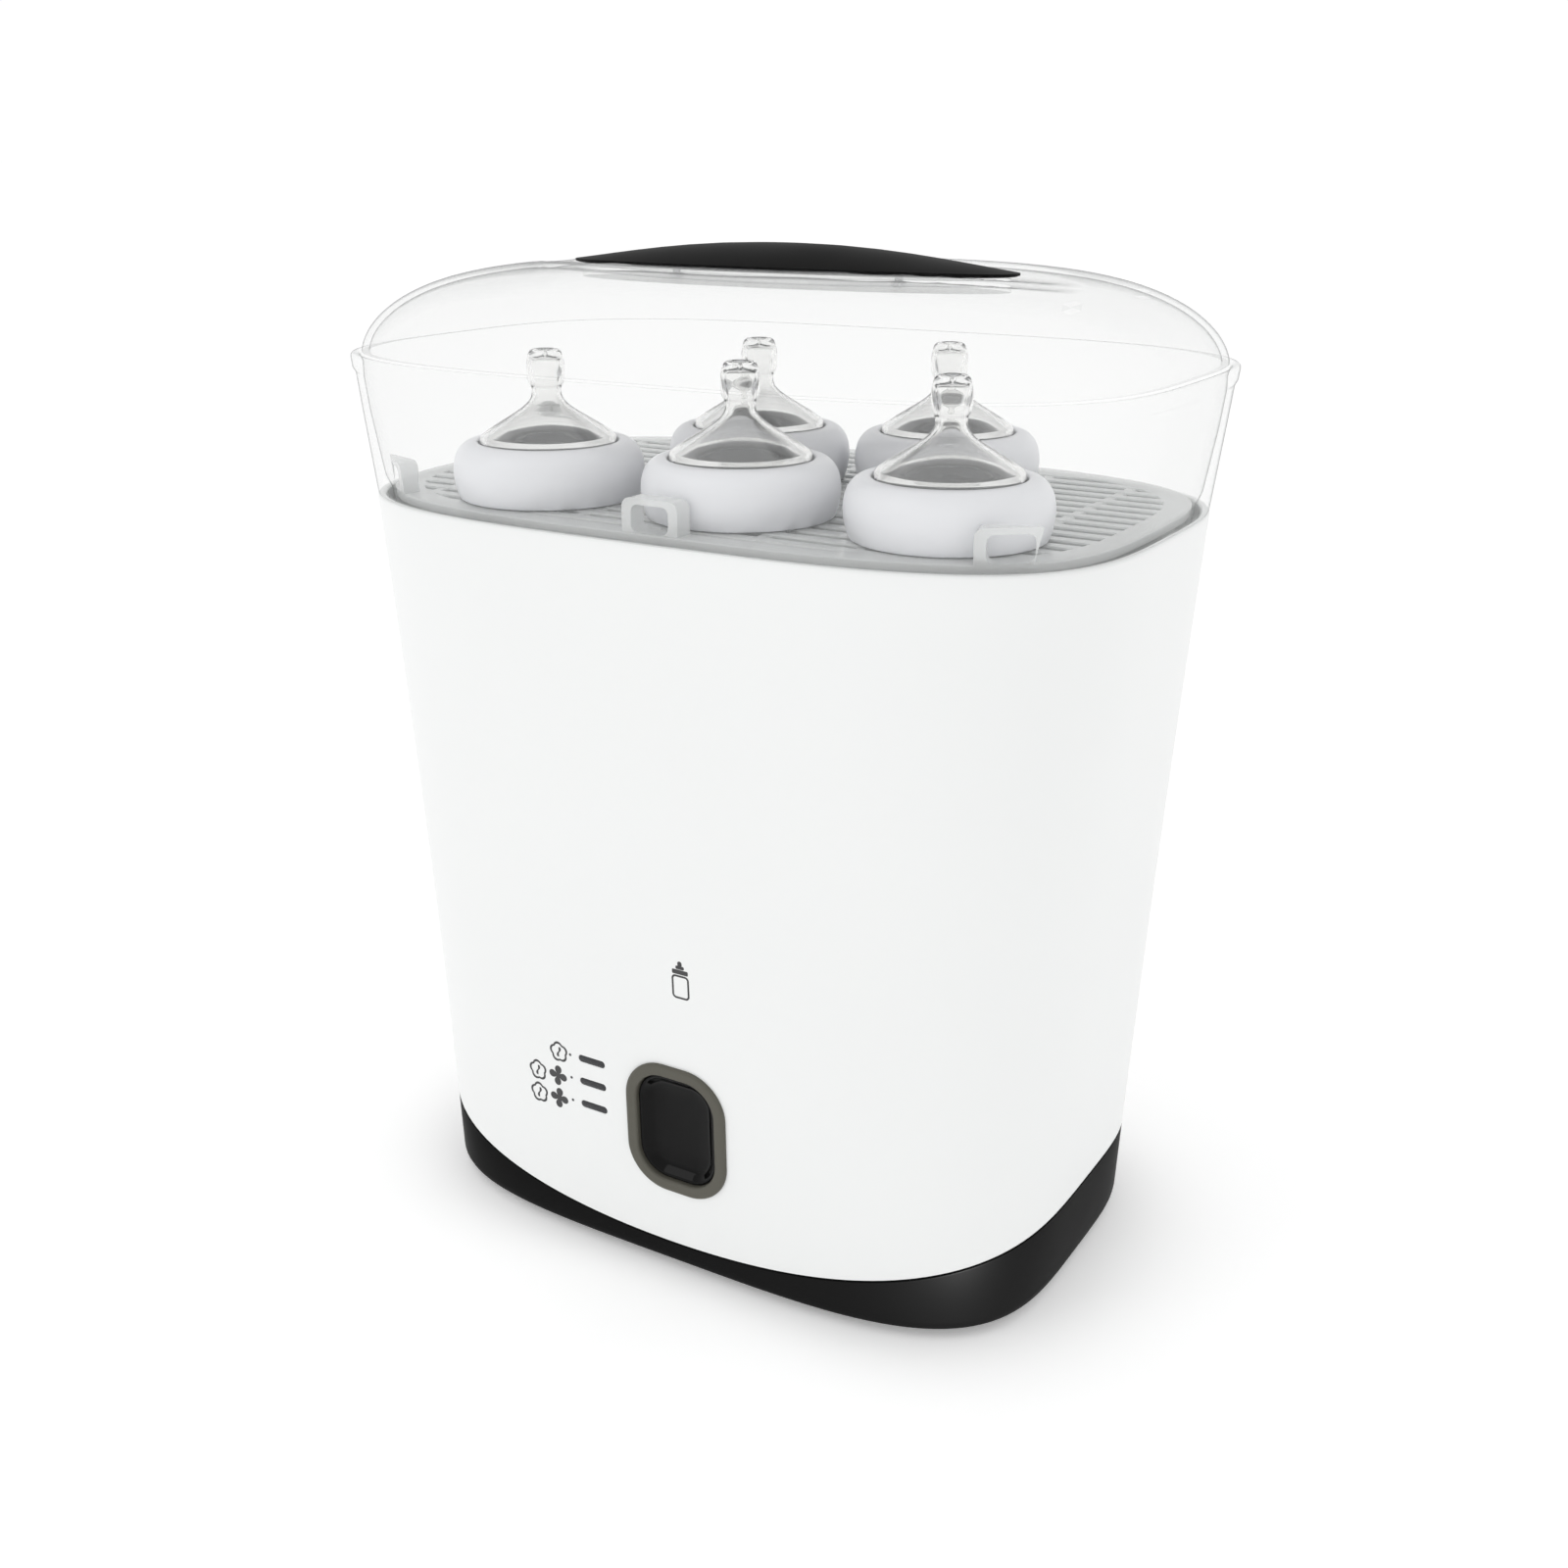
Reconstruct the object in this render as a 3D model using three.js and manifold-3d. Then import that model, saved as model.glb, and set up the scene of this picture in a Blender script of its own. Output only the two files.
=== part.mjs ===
// Bottle sterilizer and dryer: white tapered housing on a dark base pan, clear tray and domed lid on top.
// Millimetres, +Z up, front towards -Y. The origin is at the bottom centre, on the surface it stands on.
import * as THREE from 'three';
import { mergeVertices } from 'three/addons/utils/BufferGeometryUtils.js';
import Module from 'manifold-3d';

const wasm = await Module();
wasm.setup();

// ---- Driving dimensions ----

const GAP = 0.3;                 // between pieces that touch
const OUTLINE_STEPS = 36;        // points round an oval outline

const FOOT_HEIGHT = 3;           // the base pan hangs this far off the table
const HOUSING_TOP = 271;
const RIM_TOP = 320;             // top of the clear tray
const LID_RISE = 31;             // dome above the rim
const GRIP_TOP = 357;            // overall height

const HOUSING_WALL = 2.6;
const BASE_FLOOR = 3;
const SEAM_LOW = 11.5;           // where housing meets base at the middle of the front
const SEAM_RISE = 23;            // how far the seam has climbed at SEAM_SPAN from the middle
const SEAM_SPAN = 127;

const LINER_INSET = 9;           // outer face of the chamber behind the housing's outer face
const LINER_WALL = 2;
const LINER_FLOOR = 92;          // underside of the chamber floor
const LINER_RIM = 259;

const TRAY_WALL = 2.4;
const TRAY_LEDGE = 269.7;        // the grid rests here
const GRID_TOP = 273;
const LID_WALL = 2.2;
const LID_INSET = 3.2;           // lid behind the rim's outer lip

const BEZEL = { x: 5.5, z: 59.2, width: 41.5, height: 50.7, corner: 16, band: 4.6, proud: 1.3 };
const BUTTON_TRAVEL = 1.5;
const LIGHT_BAR = { x: -30.4, width: 11.5, height: 2.6, lowest: 58, pitch: 9.35 };

const PLATE = { radius: 62, dish: 50, rim: 98, depth: 6.6, sheet: 1.2 };
const BLOWER = { x: -62, y: 24, bottom: 40, top: 62, radius: 36, wall: 2, intake: 17 };
const DUCT = { x: -88, width: 20, wall: 2 };
const FILTER = { x: -62, z: 60, width: 60, height: 40 };
const INLET = { x: 54, z: 38, width: 32, height: 24 };

const FOOT = { radius: 9, x: 88, y: 56 };
const SCREW_POST = { x: 108, y: 44, radius: 5.5 };
const GRIP = { reach: 86.5, depth: 23.5, base: 348.6, edge: 1.8, arch: 3.4, screwX: 44 };
const HOLLOW = { reach: 106, depth: 42, drop: 6.2 };   // dip in the crown round the grip, for the fingers
const VENT = { x: 117, y: 30, length: 9, width: 2.6 };

const COLLAR = { radius: 33, height: 19, opening: 24 };
const FINGER_ARCHES = [[4, -85.2, 0], [4, 85.2, 0], [118, -70, 0.33], [-118, -70, -0.33]];   // x, y, turn
const BOTTLE_TOP_SPOTS = [[-64, -51], [11.8, -47.3], [85.8, -44.7], [-20.5, 17], [45, 38]];

// ---- The oval outline: a superellipse that widens with height ----

// Half-length a, half-depth b and squareness n at the heights where the taper changes.
const STATIONS = [
  { z: 0, a: 125.6, b: 82, n: 3.75 },
  { z: 110, a: 131.9, b: 85.1, n: 3.75 },
  { z: 190, a: 137.1, b: 89.4, n: 3.6 },
  { z: HOUSING_TOP, a: 143, b: 95.3, n: 3.5 },
  { z: RIM_TOP, a: 149.2, b: 100.2, n: 3.38 },
];

function outlineAt(z) {
  const last = STATIONS.length - 2;
  const found = STATIONS.findIndex((station, i) => i > 0 && z <= station.z) - 1;
  const lower = found < 0 ? last : found;
  const [from, to] = [STATIONS[lower], STATIONS[lower + 1]];
  const share = (z - from.z) / (to.z - from.z);
  return {
    a: from.a + (to.a - from.a) * share,
    b: from.b + (to.b - from.b) * share,
    n: from.n + (to.n - from.n) * share,
  };
}

function signedPower(value, power) {
  return Math.sign(value) * Math.abs(value) ** power;
}

// Point of an outline at an angle, for a ring that reaches r along X.
function outlinePoint(angle, r, z) {
  const { a, b, n } = outlineAt(z);
  const depth = Math.max(r - (a - b), 0);
  return [r * signedPower(Math.cos(angle), 2 / n), depth * signedPower(Math.sin(angle), 2 / n)];
}

function inset(z, amount) {
  return [outlineAt(z).a - amount, z];
}

// ---- Solids ----

// A closed three.js geometry as a boolean solid.
function solidOf(geometry) {
  const bare = geometry.index ? geometry.toNonIndexed() : geometry.clone();
  for (const name of Object.keys(bare.attributes)) {
    if (name !== 'position') {
      bare.deleteAttribute(name);
    }
  }
  const merged = mergeVertices(bare, 1e-4);
  const corners = [];
  for (let i = 0; i < merged.index.count; i += 3) {
    const [p, q, r] = [0, 1, 2].map((k) => merged.index.getX(i + k));
    if (p !== q && q !== r && r !== p) {
      corners.push(p, q, r);
    }
  }
  return new wasm.Manifold(new wasm.Mesh({
    numProp: 3,
    vertProperties: new Float32Array(merged.attributes.position.array),
    triVerts: new Uint32Array(corners),
  }));
}

function geometryOf(solid) {
  const mesh = solid.getMesh();
  const geometry = new THREE.BufferGeometry();
  geometry.setAttribute('position', new THREE.BufferAttribute(mesh.vertProperties, 3));
  geometry.setIndex(new THREE.BufferAttribute(mesh.triVerts, 1));
  return geometry;
}

function unite(first, ...rest) {
  return rest.reduce((sum, solid) => sum.add(solid), first);
}

function cut(first, ...rest) {
  return rest.reduce((left, solid) => left.subtract(solid), first);
}

// Box from its lowest to its highest corner.
function box(low, high) {
  const size = high.map((value, i) => value - low[i]);
  const middle = high.map((value, i) => (value + low[i]) / 2);
  return solidOf(new THREE.BoxGeometry(...size).translate(...middle));
}

// Upright cylinder between two heights.
function post(x, y, radius, bottom, top, steps = 16) {
  const height = top - bottom;
  const geometry = new THREE.CylinderGeometry(radius, radius, height, steps).rotateX(Math.PI / 2);
  return solidOf(geometry.translate(x, y, bottom + height / 2));
}

// Round piece from a profile of [radius, z] points.
function turned(profile, steps, x = 0, y = 0) {
  const points = profile.map(([r, z]) => new THREE.Vector2(r, z));
  return solidOf(new THREE.LatheGeometry(points, steps).rotateX(Math.PI / 2).translate(x, y, 0));
}

// A lathe whose points are placed by a function of angle and [r, z], instead of on circles.
function shapedTurned(profile, steps, place) {
  const points = profile.map(([r, z]) => new THREE.Vector2(r, z));
  const geometry = new THREE.LatheGeometry(points, steps);
  const position = geometry.attributes.position;
  for (let i = 0; i < position.count; i += 1) {
    const step = Math.floor(i / points.length) % steps;
    const { x: r, y: z } = points[i % points.length];
    position.setXYZ(i, ...place((step * 2 * Math.PI) / steps, r, z));
  }
  return solidOf(geometry);
}

// Oval piece from a profile of [reach along X, z] points, on the body's outline.
function ovalTurned(profile) {
  return shapedTurned(profile, OUTLINE_STEPS, (angle, r, z) => [...outlinePoint(angle, r, z), z]);
}

// Rounded rectangle on the front view, extruded along Y from front to back.
function frontPlate({ x, z, width, height, corner }, front, back, steps = 5) {
  const shape = new THREE.Shape();
  const [w, h] = [width / 2 - corner, height / 2 - corner];
  shape.absarc(x + w, z + h, corner, 0, Math.PI / 2);
  shape.absarc(x - w, z + h, corner, Math.PI / 2, Math.PI);
  shape.absarc(x - w, z - h, corner, Math.PI, 1.5 * Math.PI);
  shape.absarc(x + w, z - h, corner, 1.5 * Math.PI, 2 * Math.PI);
  const geometry = new THREE.ExtrudeGeometry(shape, {
    depth: back - front, bevelEnabled: false, curveSegments: steps,
  });
  return solidOf(geometry.rotateX(Math.PI / 2).translate(0, back, 0));
}

// A rounded rectangle made smaller by an amount on every side.
function narrowed(plate, amount) {
  return {
    ...plate,
    width: plate.width - 2 * amount,
    height: plate.height - 2 * amount,
    corner: plate.corner - amount,
  };
}

// Everything inside the body's outer face moved in by an amount (out, where it is negative).
function bodyCore(amount, bottom, top) {
  return ovalTurned([[0, bottom], inset(bottom, amount), inset(top, amount), [0, top]]);
}

// Block whose top follows the seam between base and housing, lifted by an amount.
function belowSeam(lift) {
  const shape = new THREE.Shape();
  const reach = 160;
  shape.moveTo(-reach, -20);
  shape.lineTo(reach, -20);
  for (let i = 16; i >= 0; i -= 1) {
    const x = reach * (i / 8 - 1);
    shape.lineTo(x, SEAM_LOW + SEAM_RISE * (x / SEAM_SPAN) ** 2 + lift);
  }
  const geometry = new THREE.ExtrudeGeometry(shape, { depth: 300, bevelEnabled: false });
  return solidOf(geometry.rotateX(Math.PI / 2).translate(0, 150, 0));
}

// ---- Materials ----

function finish(color, roughness, metalness = 0, opacity = 1) {
  return new THREE.MeshStandardMaterial({
    color, roughness, metalness, opacity, transparent: opacity < 1,
  });
}

const whitePlastic = finish(0xf4f5f4, 0.3);
const darkPlastic = finish(0x0d0d0d, 0.42);
const greyPlastic = finish(0x5f5d50, 0.4);
const glossBlack = finish(0x050505, 0.06);
const gripPlastic = finish(0x1a1a1a, 0.6);
const clearPlastic = finish(0xf2f5f5, 0.05, 0, 0.3);
const clearSilicone = finish(0xf0f0ec, 0.25, 0, 0.4);
const collarPlastic = finish(0xe2e3e8, 0.35);
const smokedPlastic = finish(0x26282b, 0.15);
const linerPlastic = finish(0xe9ebea, 0.4);
const rubber = finish(0x111111, 0.85);
const silicone = finish(0xb9bcbb, 0.6);
const steel = finish(0xc9ccce, 0.28, 1);
const zincSteel = finish(0xa9adb0, 0.4, 1);
const heatPlastic = finish(0x2b2c2e, 0.6);
const ceramic = finish(0xe8e0d0, 0.7);
const boardGreen = finish(0x1f5a38, 0.5);
const filterPad = finish(0xe6e8e4, 0.95);

const sterilizer = new THREE.Group();

function addPart(name, solid, material) {
  const mesh = new THREE.Mesh(geometryOf(solid), material);
  mesh.name = name;
  sterilizer.add(mesh);
}

const MIRRORS = [
  ['front_left', -1, -1], ['front_right', 1, -1], ['rear_left', -1, 1], ['rear_right', 1, 1],
];

// ---- Base pan with its posts, and what stands under it ----

const BASE_BOTTOM = FOOT_HEIGHT;
const BASE_INSIDE = BASE_BOTTOM + BASE_FLOOR;
const SCREW_LEDGE = BASE_INSIDE + 3;
const POST_TOP = 16;
const BOARD_BOTTOM = 18;
const BOARD_POSTS = [[34, -24], [106, -24], [34, 28], [106, 28]];
const MOTOR = { radius: 13, top: BLOWER.bottom - GAP };

function basePan() {
  const outer = ovalTurned([
    [0, BASE_BOTTOM], inset(BASE_BOTTOM, 3), inset(4, 0.9), inset(6, 0), inset(60, 0), [0, 60],
  ]);
  const cavity = bodyCore(HOUSING_WALL, BASE_INSIDE, 70);
  const stands = MIRRORS.map(([, sx, sy]) => (
    post(sx * SCREW_POST.x, sy * SCREW_POST.y, SCREW_POST.radius, BASE_INSIDE - 1, POST_TOP, 12)));
  const boardStands = BOARD_POSTS.map(([x, y]) => post(x, y, 3, BASE_INSIDE - 1, BOARD_BOTTOM - GAP, 8));
  const motorSeat = post(BLOWER.x, BLOWER.y, MOTOR.radius + 2.5, BASE_INSIDE - 1, 13, 20);
  const motorWell = post(BLOWER.x, BLOWER.y, MOTOR.radius + GAP, 8, 14, 20);
  const shell = unite(cut(outer.intersect(belowSeam(0)), cavity), ...stands, ...boardStands, motorSeat);
  const holes = MIRRORS.flatMap(([, sx, sy]) => [
    post(sx * SCREW_POST.x, sy * SCREW_POST.y, 4, BASE_BOTTOM - 1, SCREW_LEDGE, 12),
    post(sx * SCREW_POST.x, sy * SCREW_POST.y, 2.1, BASE_BOTTOM, POST_TOP + 1, 8),
    post(sx * FOOT.x, sy * FOOT.y, FOOT.radius + GAP, BASE_BOTTOM - 1, BASE_BOTTOM + 1.2, 16),
  ]);
  return cut(shell, motorWell, ...holes);
}

function baseScrew(x, y) {
  const head = SCREW_LEDGE - GAP;
  return turned([
    [0, head - 2.4], [3.5, head - 2.4], [3.5, head], [1.7, head], [1.7, 26], [0, 27.6],
  ], 8, x, y);
}

function foot(x, y) {
  const top = BASE_BOTTOM + 1.2 - GAP;
  return turned([
    [0, 0], [FOOT.radius, 0], [FOOT.radius, top], [0, top],
  ], 16, x, y);
}

addPart('base_cover', basePan(), darkPlastic);
for (const [corner, sx, sy] of MIRRORS) {
  addPart(`foot_${corner}`, foot(sx * FOOT.x, sy * FOOT.y), rubber);
  addPart(`base_screw_${corner}`, baseScrew(sx * SCREW_POST.x, sy * SCREW_POST.y), zincSteel);
}

// ---- Housing: one tapered shell with its windows and screw bosses ----

const BUTTON_WELL = narrowed(BEZEL, 3);
const LIGHT_BARS = ['bottom', 'middle', 'top'].map((place, row) => ({
  name: `light_pipe_${place}`,
  x: LIGHT_BAR.x,
  z: LIGHT_BAR.lowest + LIGHT_BAR.pitch * row,
  width: LIGHT_BAR.width,
  height: LIGHT_BAR.height,
  corner: LIGHT_BAR.height / 2 - 0.05,
}));

// Block through the back wall at an opening, smaller by a clearance.
function rearWindow(opening, clearance, front) {
  const [w, h] = [opening.width / 2 - clearance, opening.height / 2 - clearance];
  return box([opening.x - w, front, opening.z - h], [opening.x + w, 120, opening.z + h]);
}

// Column that takes a base screw, tied to the wall by a rib.
function screwBoss(sx, sy) {
  const x = sx * SCREW_POST.x;
  const y = sy * SCREW_POST.y;
  const column = post(x, y, SCREW_POST.radius, POST_TOP + GAP, 44, 12);
  const [near, far] = [Math.min(x, x + sx * 30), Math.max(x, x + sx * 30)];
  const rib = box([near, y - 1.2, 37], [far, y + 1.2, 44]).intersect(bodyCore(1, 5, 60));
  return cut(unite(column, rib), post(x, y, 2.1, 10, 30, 8));
}

function housing() {
  const levels = [110, 190];
  const profile = [inset(0, 0), ...levels.map((z) => inset(z, 0)), inset(HOUSING_TOP - 1, 0)];
  profile.push(inset(HOUSING_TOP, 0.8), inset(HOUSING_TOP, HOUSING_WALL));
  profile.push(...levels.reverse().map((z) => inset(z, HOUSING_WALL)), inset(0, HOUSING_WALL));
  profile.push(profile[0]);
  const shell = cut(ovalTurned(profile), belowSeam(GAP));
  const bosses = MIRRORS.map(([, sx, sy]) => screwBoss(sx, sy));
  const bars = LIGHT_BARS.map((bar) => (
    frontPlate({ ...bar, width: bar.width + 2 * GAP, height: bar.height + 2 * GAP }, -100, -60, 3)));
  return cut(
    unite(shell, ...bosses),
    frontPlate(BUTTON_WELL, -100, -60),
    rearWindow(FILTER, 0, 60),
    rearWindow(INLET, 0, 60),
    ...bars,
  );
}

addPart('housing', housing(), whitePlastic);

// ---- Front controls ----

const FRONT_FACE = -(outlineAt(BEZEL.z).b);          // front of the housing behind the button
const BUTTON_BACK = FRONT_FACE + 6.6;
const SWITCH_BACK = BUTTON_BACK + BUTTON_TRAVEL + 4;

// Ring that covers the well's edge, with a sleeve that goes in through the wall.
function bezel() {
  const opening = frontPlate(narrowed(BEZEL, BEZEL.band), -100, -60);
  const face = frontPlate(BEZEL, -100, -60).intersect(bodyCore(-BEZEL.proud, 25, 95));
  const flange = cut(face, bodyCore(-0.25, 20, 100));
  const sleeve = frontPlate(narrowed(BUTTON_WELL, GAP), FRONT_FACE - 0.8, FRONT_FACE + 5);
  return cut(unite(flange, sleeve), opening);
}

// Dished key that slides back in the bezel, with a stem for the switch.
function button() {
  const outline = narrowed(BEZEL, BEZEL.band + GAP);
  const key = frontPlate(outline, FRONT_FACE - 0.4, FRONT_FACE + 4.6);
  const stem = box([BEZEL.x - 2, FRONT_FACE + 4, BEZEL.z - 2], [BEZEL.x + 2, BUTTON_BACK, BEZEL.z + 2]);
  return unite(key, stem);
}

// Tact switch: body against the board, dome towards the stem.
function buttonSwitch() {
  const { x, z } = BEZEL;
  const body = box([x - 3, SWITCH_BACK - 2, z - 3], [x + 3, SWITCH_BACK, z + 3]);
  const front = BUTTON_BACK + BUTTON_TRAVEL + GAP;
  const nose = box([x - 1.6, front, z - 1.6], [x + 1.6, SWITCH_BACK - 1, z + 1.6]);
  return unite(body, nose);
}

function displayBoard() {
  const front = SWITCH_BACK + GAP;
  const board = box([-46, front, 38], [32, front + 1.6, 84]);
  const connector = box([-38, front + 1, 44], [-22, front + 5, 50]);
  const chip = box([-8, front + 1, 64], [4, front + 3, 74]);
  return unite(board, connector, chip);
}

// Bar flush with the housing, and the stem that carries the light from the board.
function lightPipe(bar) {
  const bodyFace = bodyCore(-0.15, 40, 90);
  const face = frontPlate(bar, -100, FRONT_FACE + 4, 3).intersect(bodyFace);
  const back = SWITCH_BACK - GAP;
  const stem = box([bar.x - 3, FRONT_FACE + 3, bar.z - 0.9], [bar.x + 3, back, bar.z + 0.9]);
  return unite(face, stem);
}

addPart('button_bezel', bezel(), greyPlastic);
addPart('control_button', button(), glossBlack);
addPart('button_switch', buttonSwitch(), heatPlastic);
addPart('display_board', displayBoard(), boardGreen);
for (const bar of LIGHT_BARS) {
  addPart(bar.name, lightPipe(bar), smokedPlastic);
}

// ---- Chamber, and the rack that the bottles stand in ----

const CHAMBER_FLOOR = LINER_FLOOR + 2.5;
const VENT_HOLE = { front: -56, back: -44.4 };      // warm air enters the chamber here

function chamberLiner() {
  const outerWall = (z) => inset(z, LINER_INSET);
  const innerWall = (z) => inset(z, LINER_INSET + LINER_WALL);
  const flangeEdge = (z) => inset(z, HOUSING_WALL + GAP);
  const middle = (LINER_FLOOR + LINER_RIM) / 2;
  const tub = ovalTurned([
    [0, LINER_FLOOR], inset(LINER_FLOOR, LINER_INSET + 8), outerWall(LINER_FLOOR + 8), outerWall(middle),
    outerWall(LINER_RIM - 2), flangeEdge(LINER_RIM - 2), flangeEdge(LINER_RIM),
    innerWall(LINER_RIM), innerWall(middle), innerWall(LINER_FLOOR + 9),
    inset(CHAMBER_FLOOR, LINER_INSET + LINER_WALL + 7), [0, CHAMBER_FLOOR],
  ]);
  const [low, high] = [LINER_FLOOR - 1, CHAMBER_FLOOR + 1];
  const half = DUCT.width / 2 - DUCT.wall;
  const plateHole = post(0, 0, PLATE.radius - 5, low, high, 24);
  const ventHole = box([DUCT.x - half, VENT_HOLE.front, low], [DUCT.x + half, VENT_HOLE.back, high]);
  return cut(tub, plateHole, ventHole);
}

// Flat plate of slats with upright pegs that hold the bottles neck down.
function bottleRack() {
  const bottom = CHAMBER_FLOOR + 8;
  const top = bottom + 3;
  const reach = outlineAt(bottom).a - LINER_INSET - LINER_WALL - 3;
  const [rimLow, rimHigh, band] = [bottom - 3, top + 2, 4];
  const rim = ovalTurned([
    [reach, rimLow], [reach, rimHigh], [reach - band, rimHigh], [reach - band, rimLow], [reach, rimLow],
  ]);
  const inside = ovalTurned([[0, rimLow], [reach - 1, rimLow], [reach - 1, rimHigh], [0, rimHigh]]);
  const slats = [];
  for (const y of [-38, 0, 38]) {
    slats.push(box([-140, y - 2.5, bottom], [140, y + 2.5, top]));
  }
  for (const x of [-90, -30, 30, 90]) {
    slats.push(box([x - 2.5, -90, bottom], [x + 2.5, 90, top]));
  }
  const grate = unite(...slats).intersect(inside);
  const pegs = [];
  for (const x of [-60, 0, 60]) {
    for (const y of [-38, 38]) {
      pegs.push(post(x, y, 4, bottom + 1, bottom + 46, 6));
    }
  }
  const [handleHalf, handleTop, bar] = [34, bottom + 130, 6];
  const handleBar = unite(
    box([-handleHalf, -2, bottom + 1], [bar - handleHalf, 2, handleTop]),
    box([handleHalf - bar, -2, bottom + 1], [handleHalf, 2, handleTop]),
    box([-handleHalf, -2, handleTop - bar], [handleHalf, 2, handleTop]),
  );
  const floor = CHAMBER_FLOOR + GAP;
  const legs = MIRRORS.map(([, sx, sy]) => post(sx * 90, sy * 38, 4, floor, bottom + 1, 6));
  return unite(rim, grate, ...pegs, handleBar, ...legs);
}

addPart('chamber_liner', chamberLiner(), linerPlastic);
addPart('bottle_rack', bottleRack(), linerPlastic);

// ---- Water dish and its heater ----

const DISH_BOTTOM = PLATE.rim - PLATE.depth - PLATE.sheet;

function heatingPlate() {
  const { radius, dish, rim, sheet } = PLATE;
  return turned([
    [0, DISH_BOTTOM], [dish, DISH_BOTTOM], [radius - 7, rim - sheet - 0.6], [radius, rim - sheet],
    [radius, rim], [radius - 7.5, rim], [dish - 0.6, DISH_BOTTOM + sheet], [0, DISH_BOTTOM + sheet],
  ], 28);
}

function plateSeal() {
  const [bottom, top] = [CHAMBER_FLOOR + GAP, PLATE.rim - PLATE.sheet - 0.7];
  return turned([
    [PLATE.radius - 4, bottom], [PLATE.radius - 0.5, bottom], [PLATE.radius - 0.5, top],
    [PLATE.radius - 4, top], [PLATE.radius - 4, bottom],
  ], 28);
}

// Tubular element: an open ring of tube under the dish.
function heatingElement() {
  const tube = 3;
  const radius = 40;
  const arc = new THREE.EllipseCurve(0, 0, radius, radius, 0.3, 2 * Math.PI - 0.3);
  const path = new THREE.CatmullRomCurve3(
    arc.getPoints(24).map((p) => new THREE.Vector3(p.x, p.y, DISH_BOTTOM - GAP - tube)));
  const section = new THREE.Shape();
  section.absarc(0, 0, tube, 0, 2 * Math.PI);
  return solidOf(new THREE.ExtrudeGeometry(section, {
    extrudePath: path, steps: 22, curveSegments: 3, bevelEnabled: false,
  }));
}

function thermostat() {
  const top = DISH_BOTTOM - GAP;
  const can = post(0, 0, 8, top - 9, top, 16);
  const flange = box([-12, -5, top - 3.2], [12, 5, top - 2]);
  const blades = [-3.5, 3.5].map((x) => box([x - 0.4, -3, top - 16], [x + 0.4, 3, top - 8]));
  return unite(can, flange, ...blades);
}

function thermalFuse() {
  const z = DISH_BOTTOM - GAP - 2.4;
  const shell = new THREE.CylinderGeometry(2, 2, 14, 10).rotateZ(Math.PI / 2).translate(0, 22, z);
  const leads = new THREE.CylinderGeometry(0.7, 0.7, 32, 8).rotateZ(Math.PI / 2).translate(0, 22, z);
  return unite(solidOf(shell), solidOf(leads));
}

addPart('heating_plate', heatingPlate(), steel);
addPart('plate_seal', plateSeal(), silicone);
addPart('heating_element', heatingElement(), zincSteel);
addPart('thermostat', thermostat(), zincSteel);
addPart('thermal_fuse', thermalFuse(), ceramic);

// ---- Drying blower: motor, impeller, scroll, heater and duct ----

const OUTLET_END = -30;                // the scroll's outlet ends here along Y
const IMPELLER = { radius: 29, bottom: 44, top: 57, hub: 7, bore: 1.9, blades: 14 };

function fanMotor() {
  const { x, y } = BLOWER;
  return unite(
    post(x, y, MOTOR.radius, 8.4, MOTOR.top, 20),
    post(x, y, 1.5, MOTOR.top - 1, IMPELLER.top - 3, 10),
  );
}

function blowerOutline(margin, bottom, top) {
  const { x, y, radius } = BLOWER;
  const side = x - radius;
  const channel = box([side + margin, OUTLET_END - 1, bottom], [side + DUCT.width - margin, y, top]);
  return unite(post(x, y, radius - margin, bottom, top, 32), channel);
}

function fanHousing() {
  const { x, y, bottom, top, wall } = BLOWER;
  const trimmed = box([-130, OUTLET_END, 0], [0, 90, 90]);
  const shell = blowerOutline(0, bottom, top - wall - GAP).intersect(trimmed);
  return cut(shell, blowerOutline(wall, bottom + wall, top), post(x, y, 4, bottom - 1, bottom + 9, 12));
}

function fanCover() {
  const { x, y, top, wall, intake } = BLOWER;
  const trimmed = box([-130, OUTLET_END, 0], [0, 90, 90]);
  const lid = blowerOutline(0, top - wall, top).intersect(trimmed);
  return cut(lid, post(x, y, intake, top - 9, top + 9, 24));
}

function fanImpeller() {
  const { x, y } = BLOWER;
  const { radius, bottom, top, hub, bore, blades } = IMPELLER;
  const vanes = [];
  for (let i = 0; i < blades; i += 1) {
    const vane = new THREE.BoxGeometry(12, 1.2, top - bottom - 1).rotateZ(0.7);
    vane.translate(radius - 6.5, 0, 0).rotateZ((i * 2 * Math.PI) / blades);
    vane.translate(x, y, (bottom + top) / 2 + 0.5);
    vanes.push(solidOf(vane));
  }
  const disc = post(x, y, radius, bottom, bottom + 2, 28);
  const boss = post(x, y, hub, bottom, top, 16);
  return cut(unite(disc, boss, ...vanes), post(x, y, bore, bottom - 1, top - 2.4, 10));
}

const HEATER = { front: -42, back: OUTLET_END - GAP };

function airHeater() {
  const { bottom, top } = BLOWER;
  const half = DUCT.width / 2;
  const block = box([DUCT.x - half, HEATER.front, bottom], [DUCT.x + half, HEATER.back, top]);
  const slots = [];
  for (let i = 0; i < 5; i += 1) {
    const z = bottom + 3 + i * 3.4;
    slots.push(box([DUCT.x - half + 2, -50, z], [DUCT.x + half - 2, -20, z + 2.2]));
  }
  return cut(block, ...slots);
}

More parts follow.
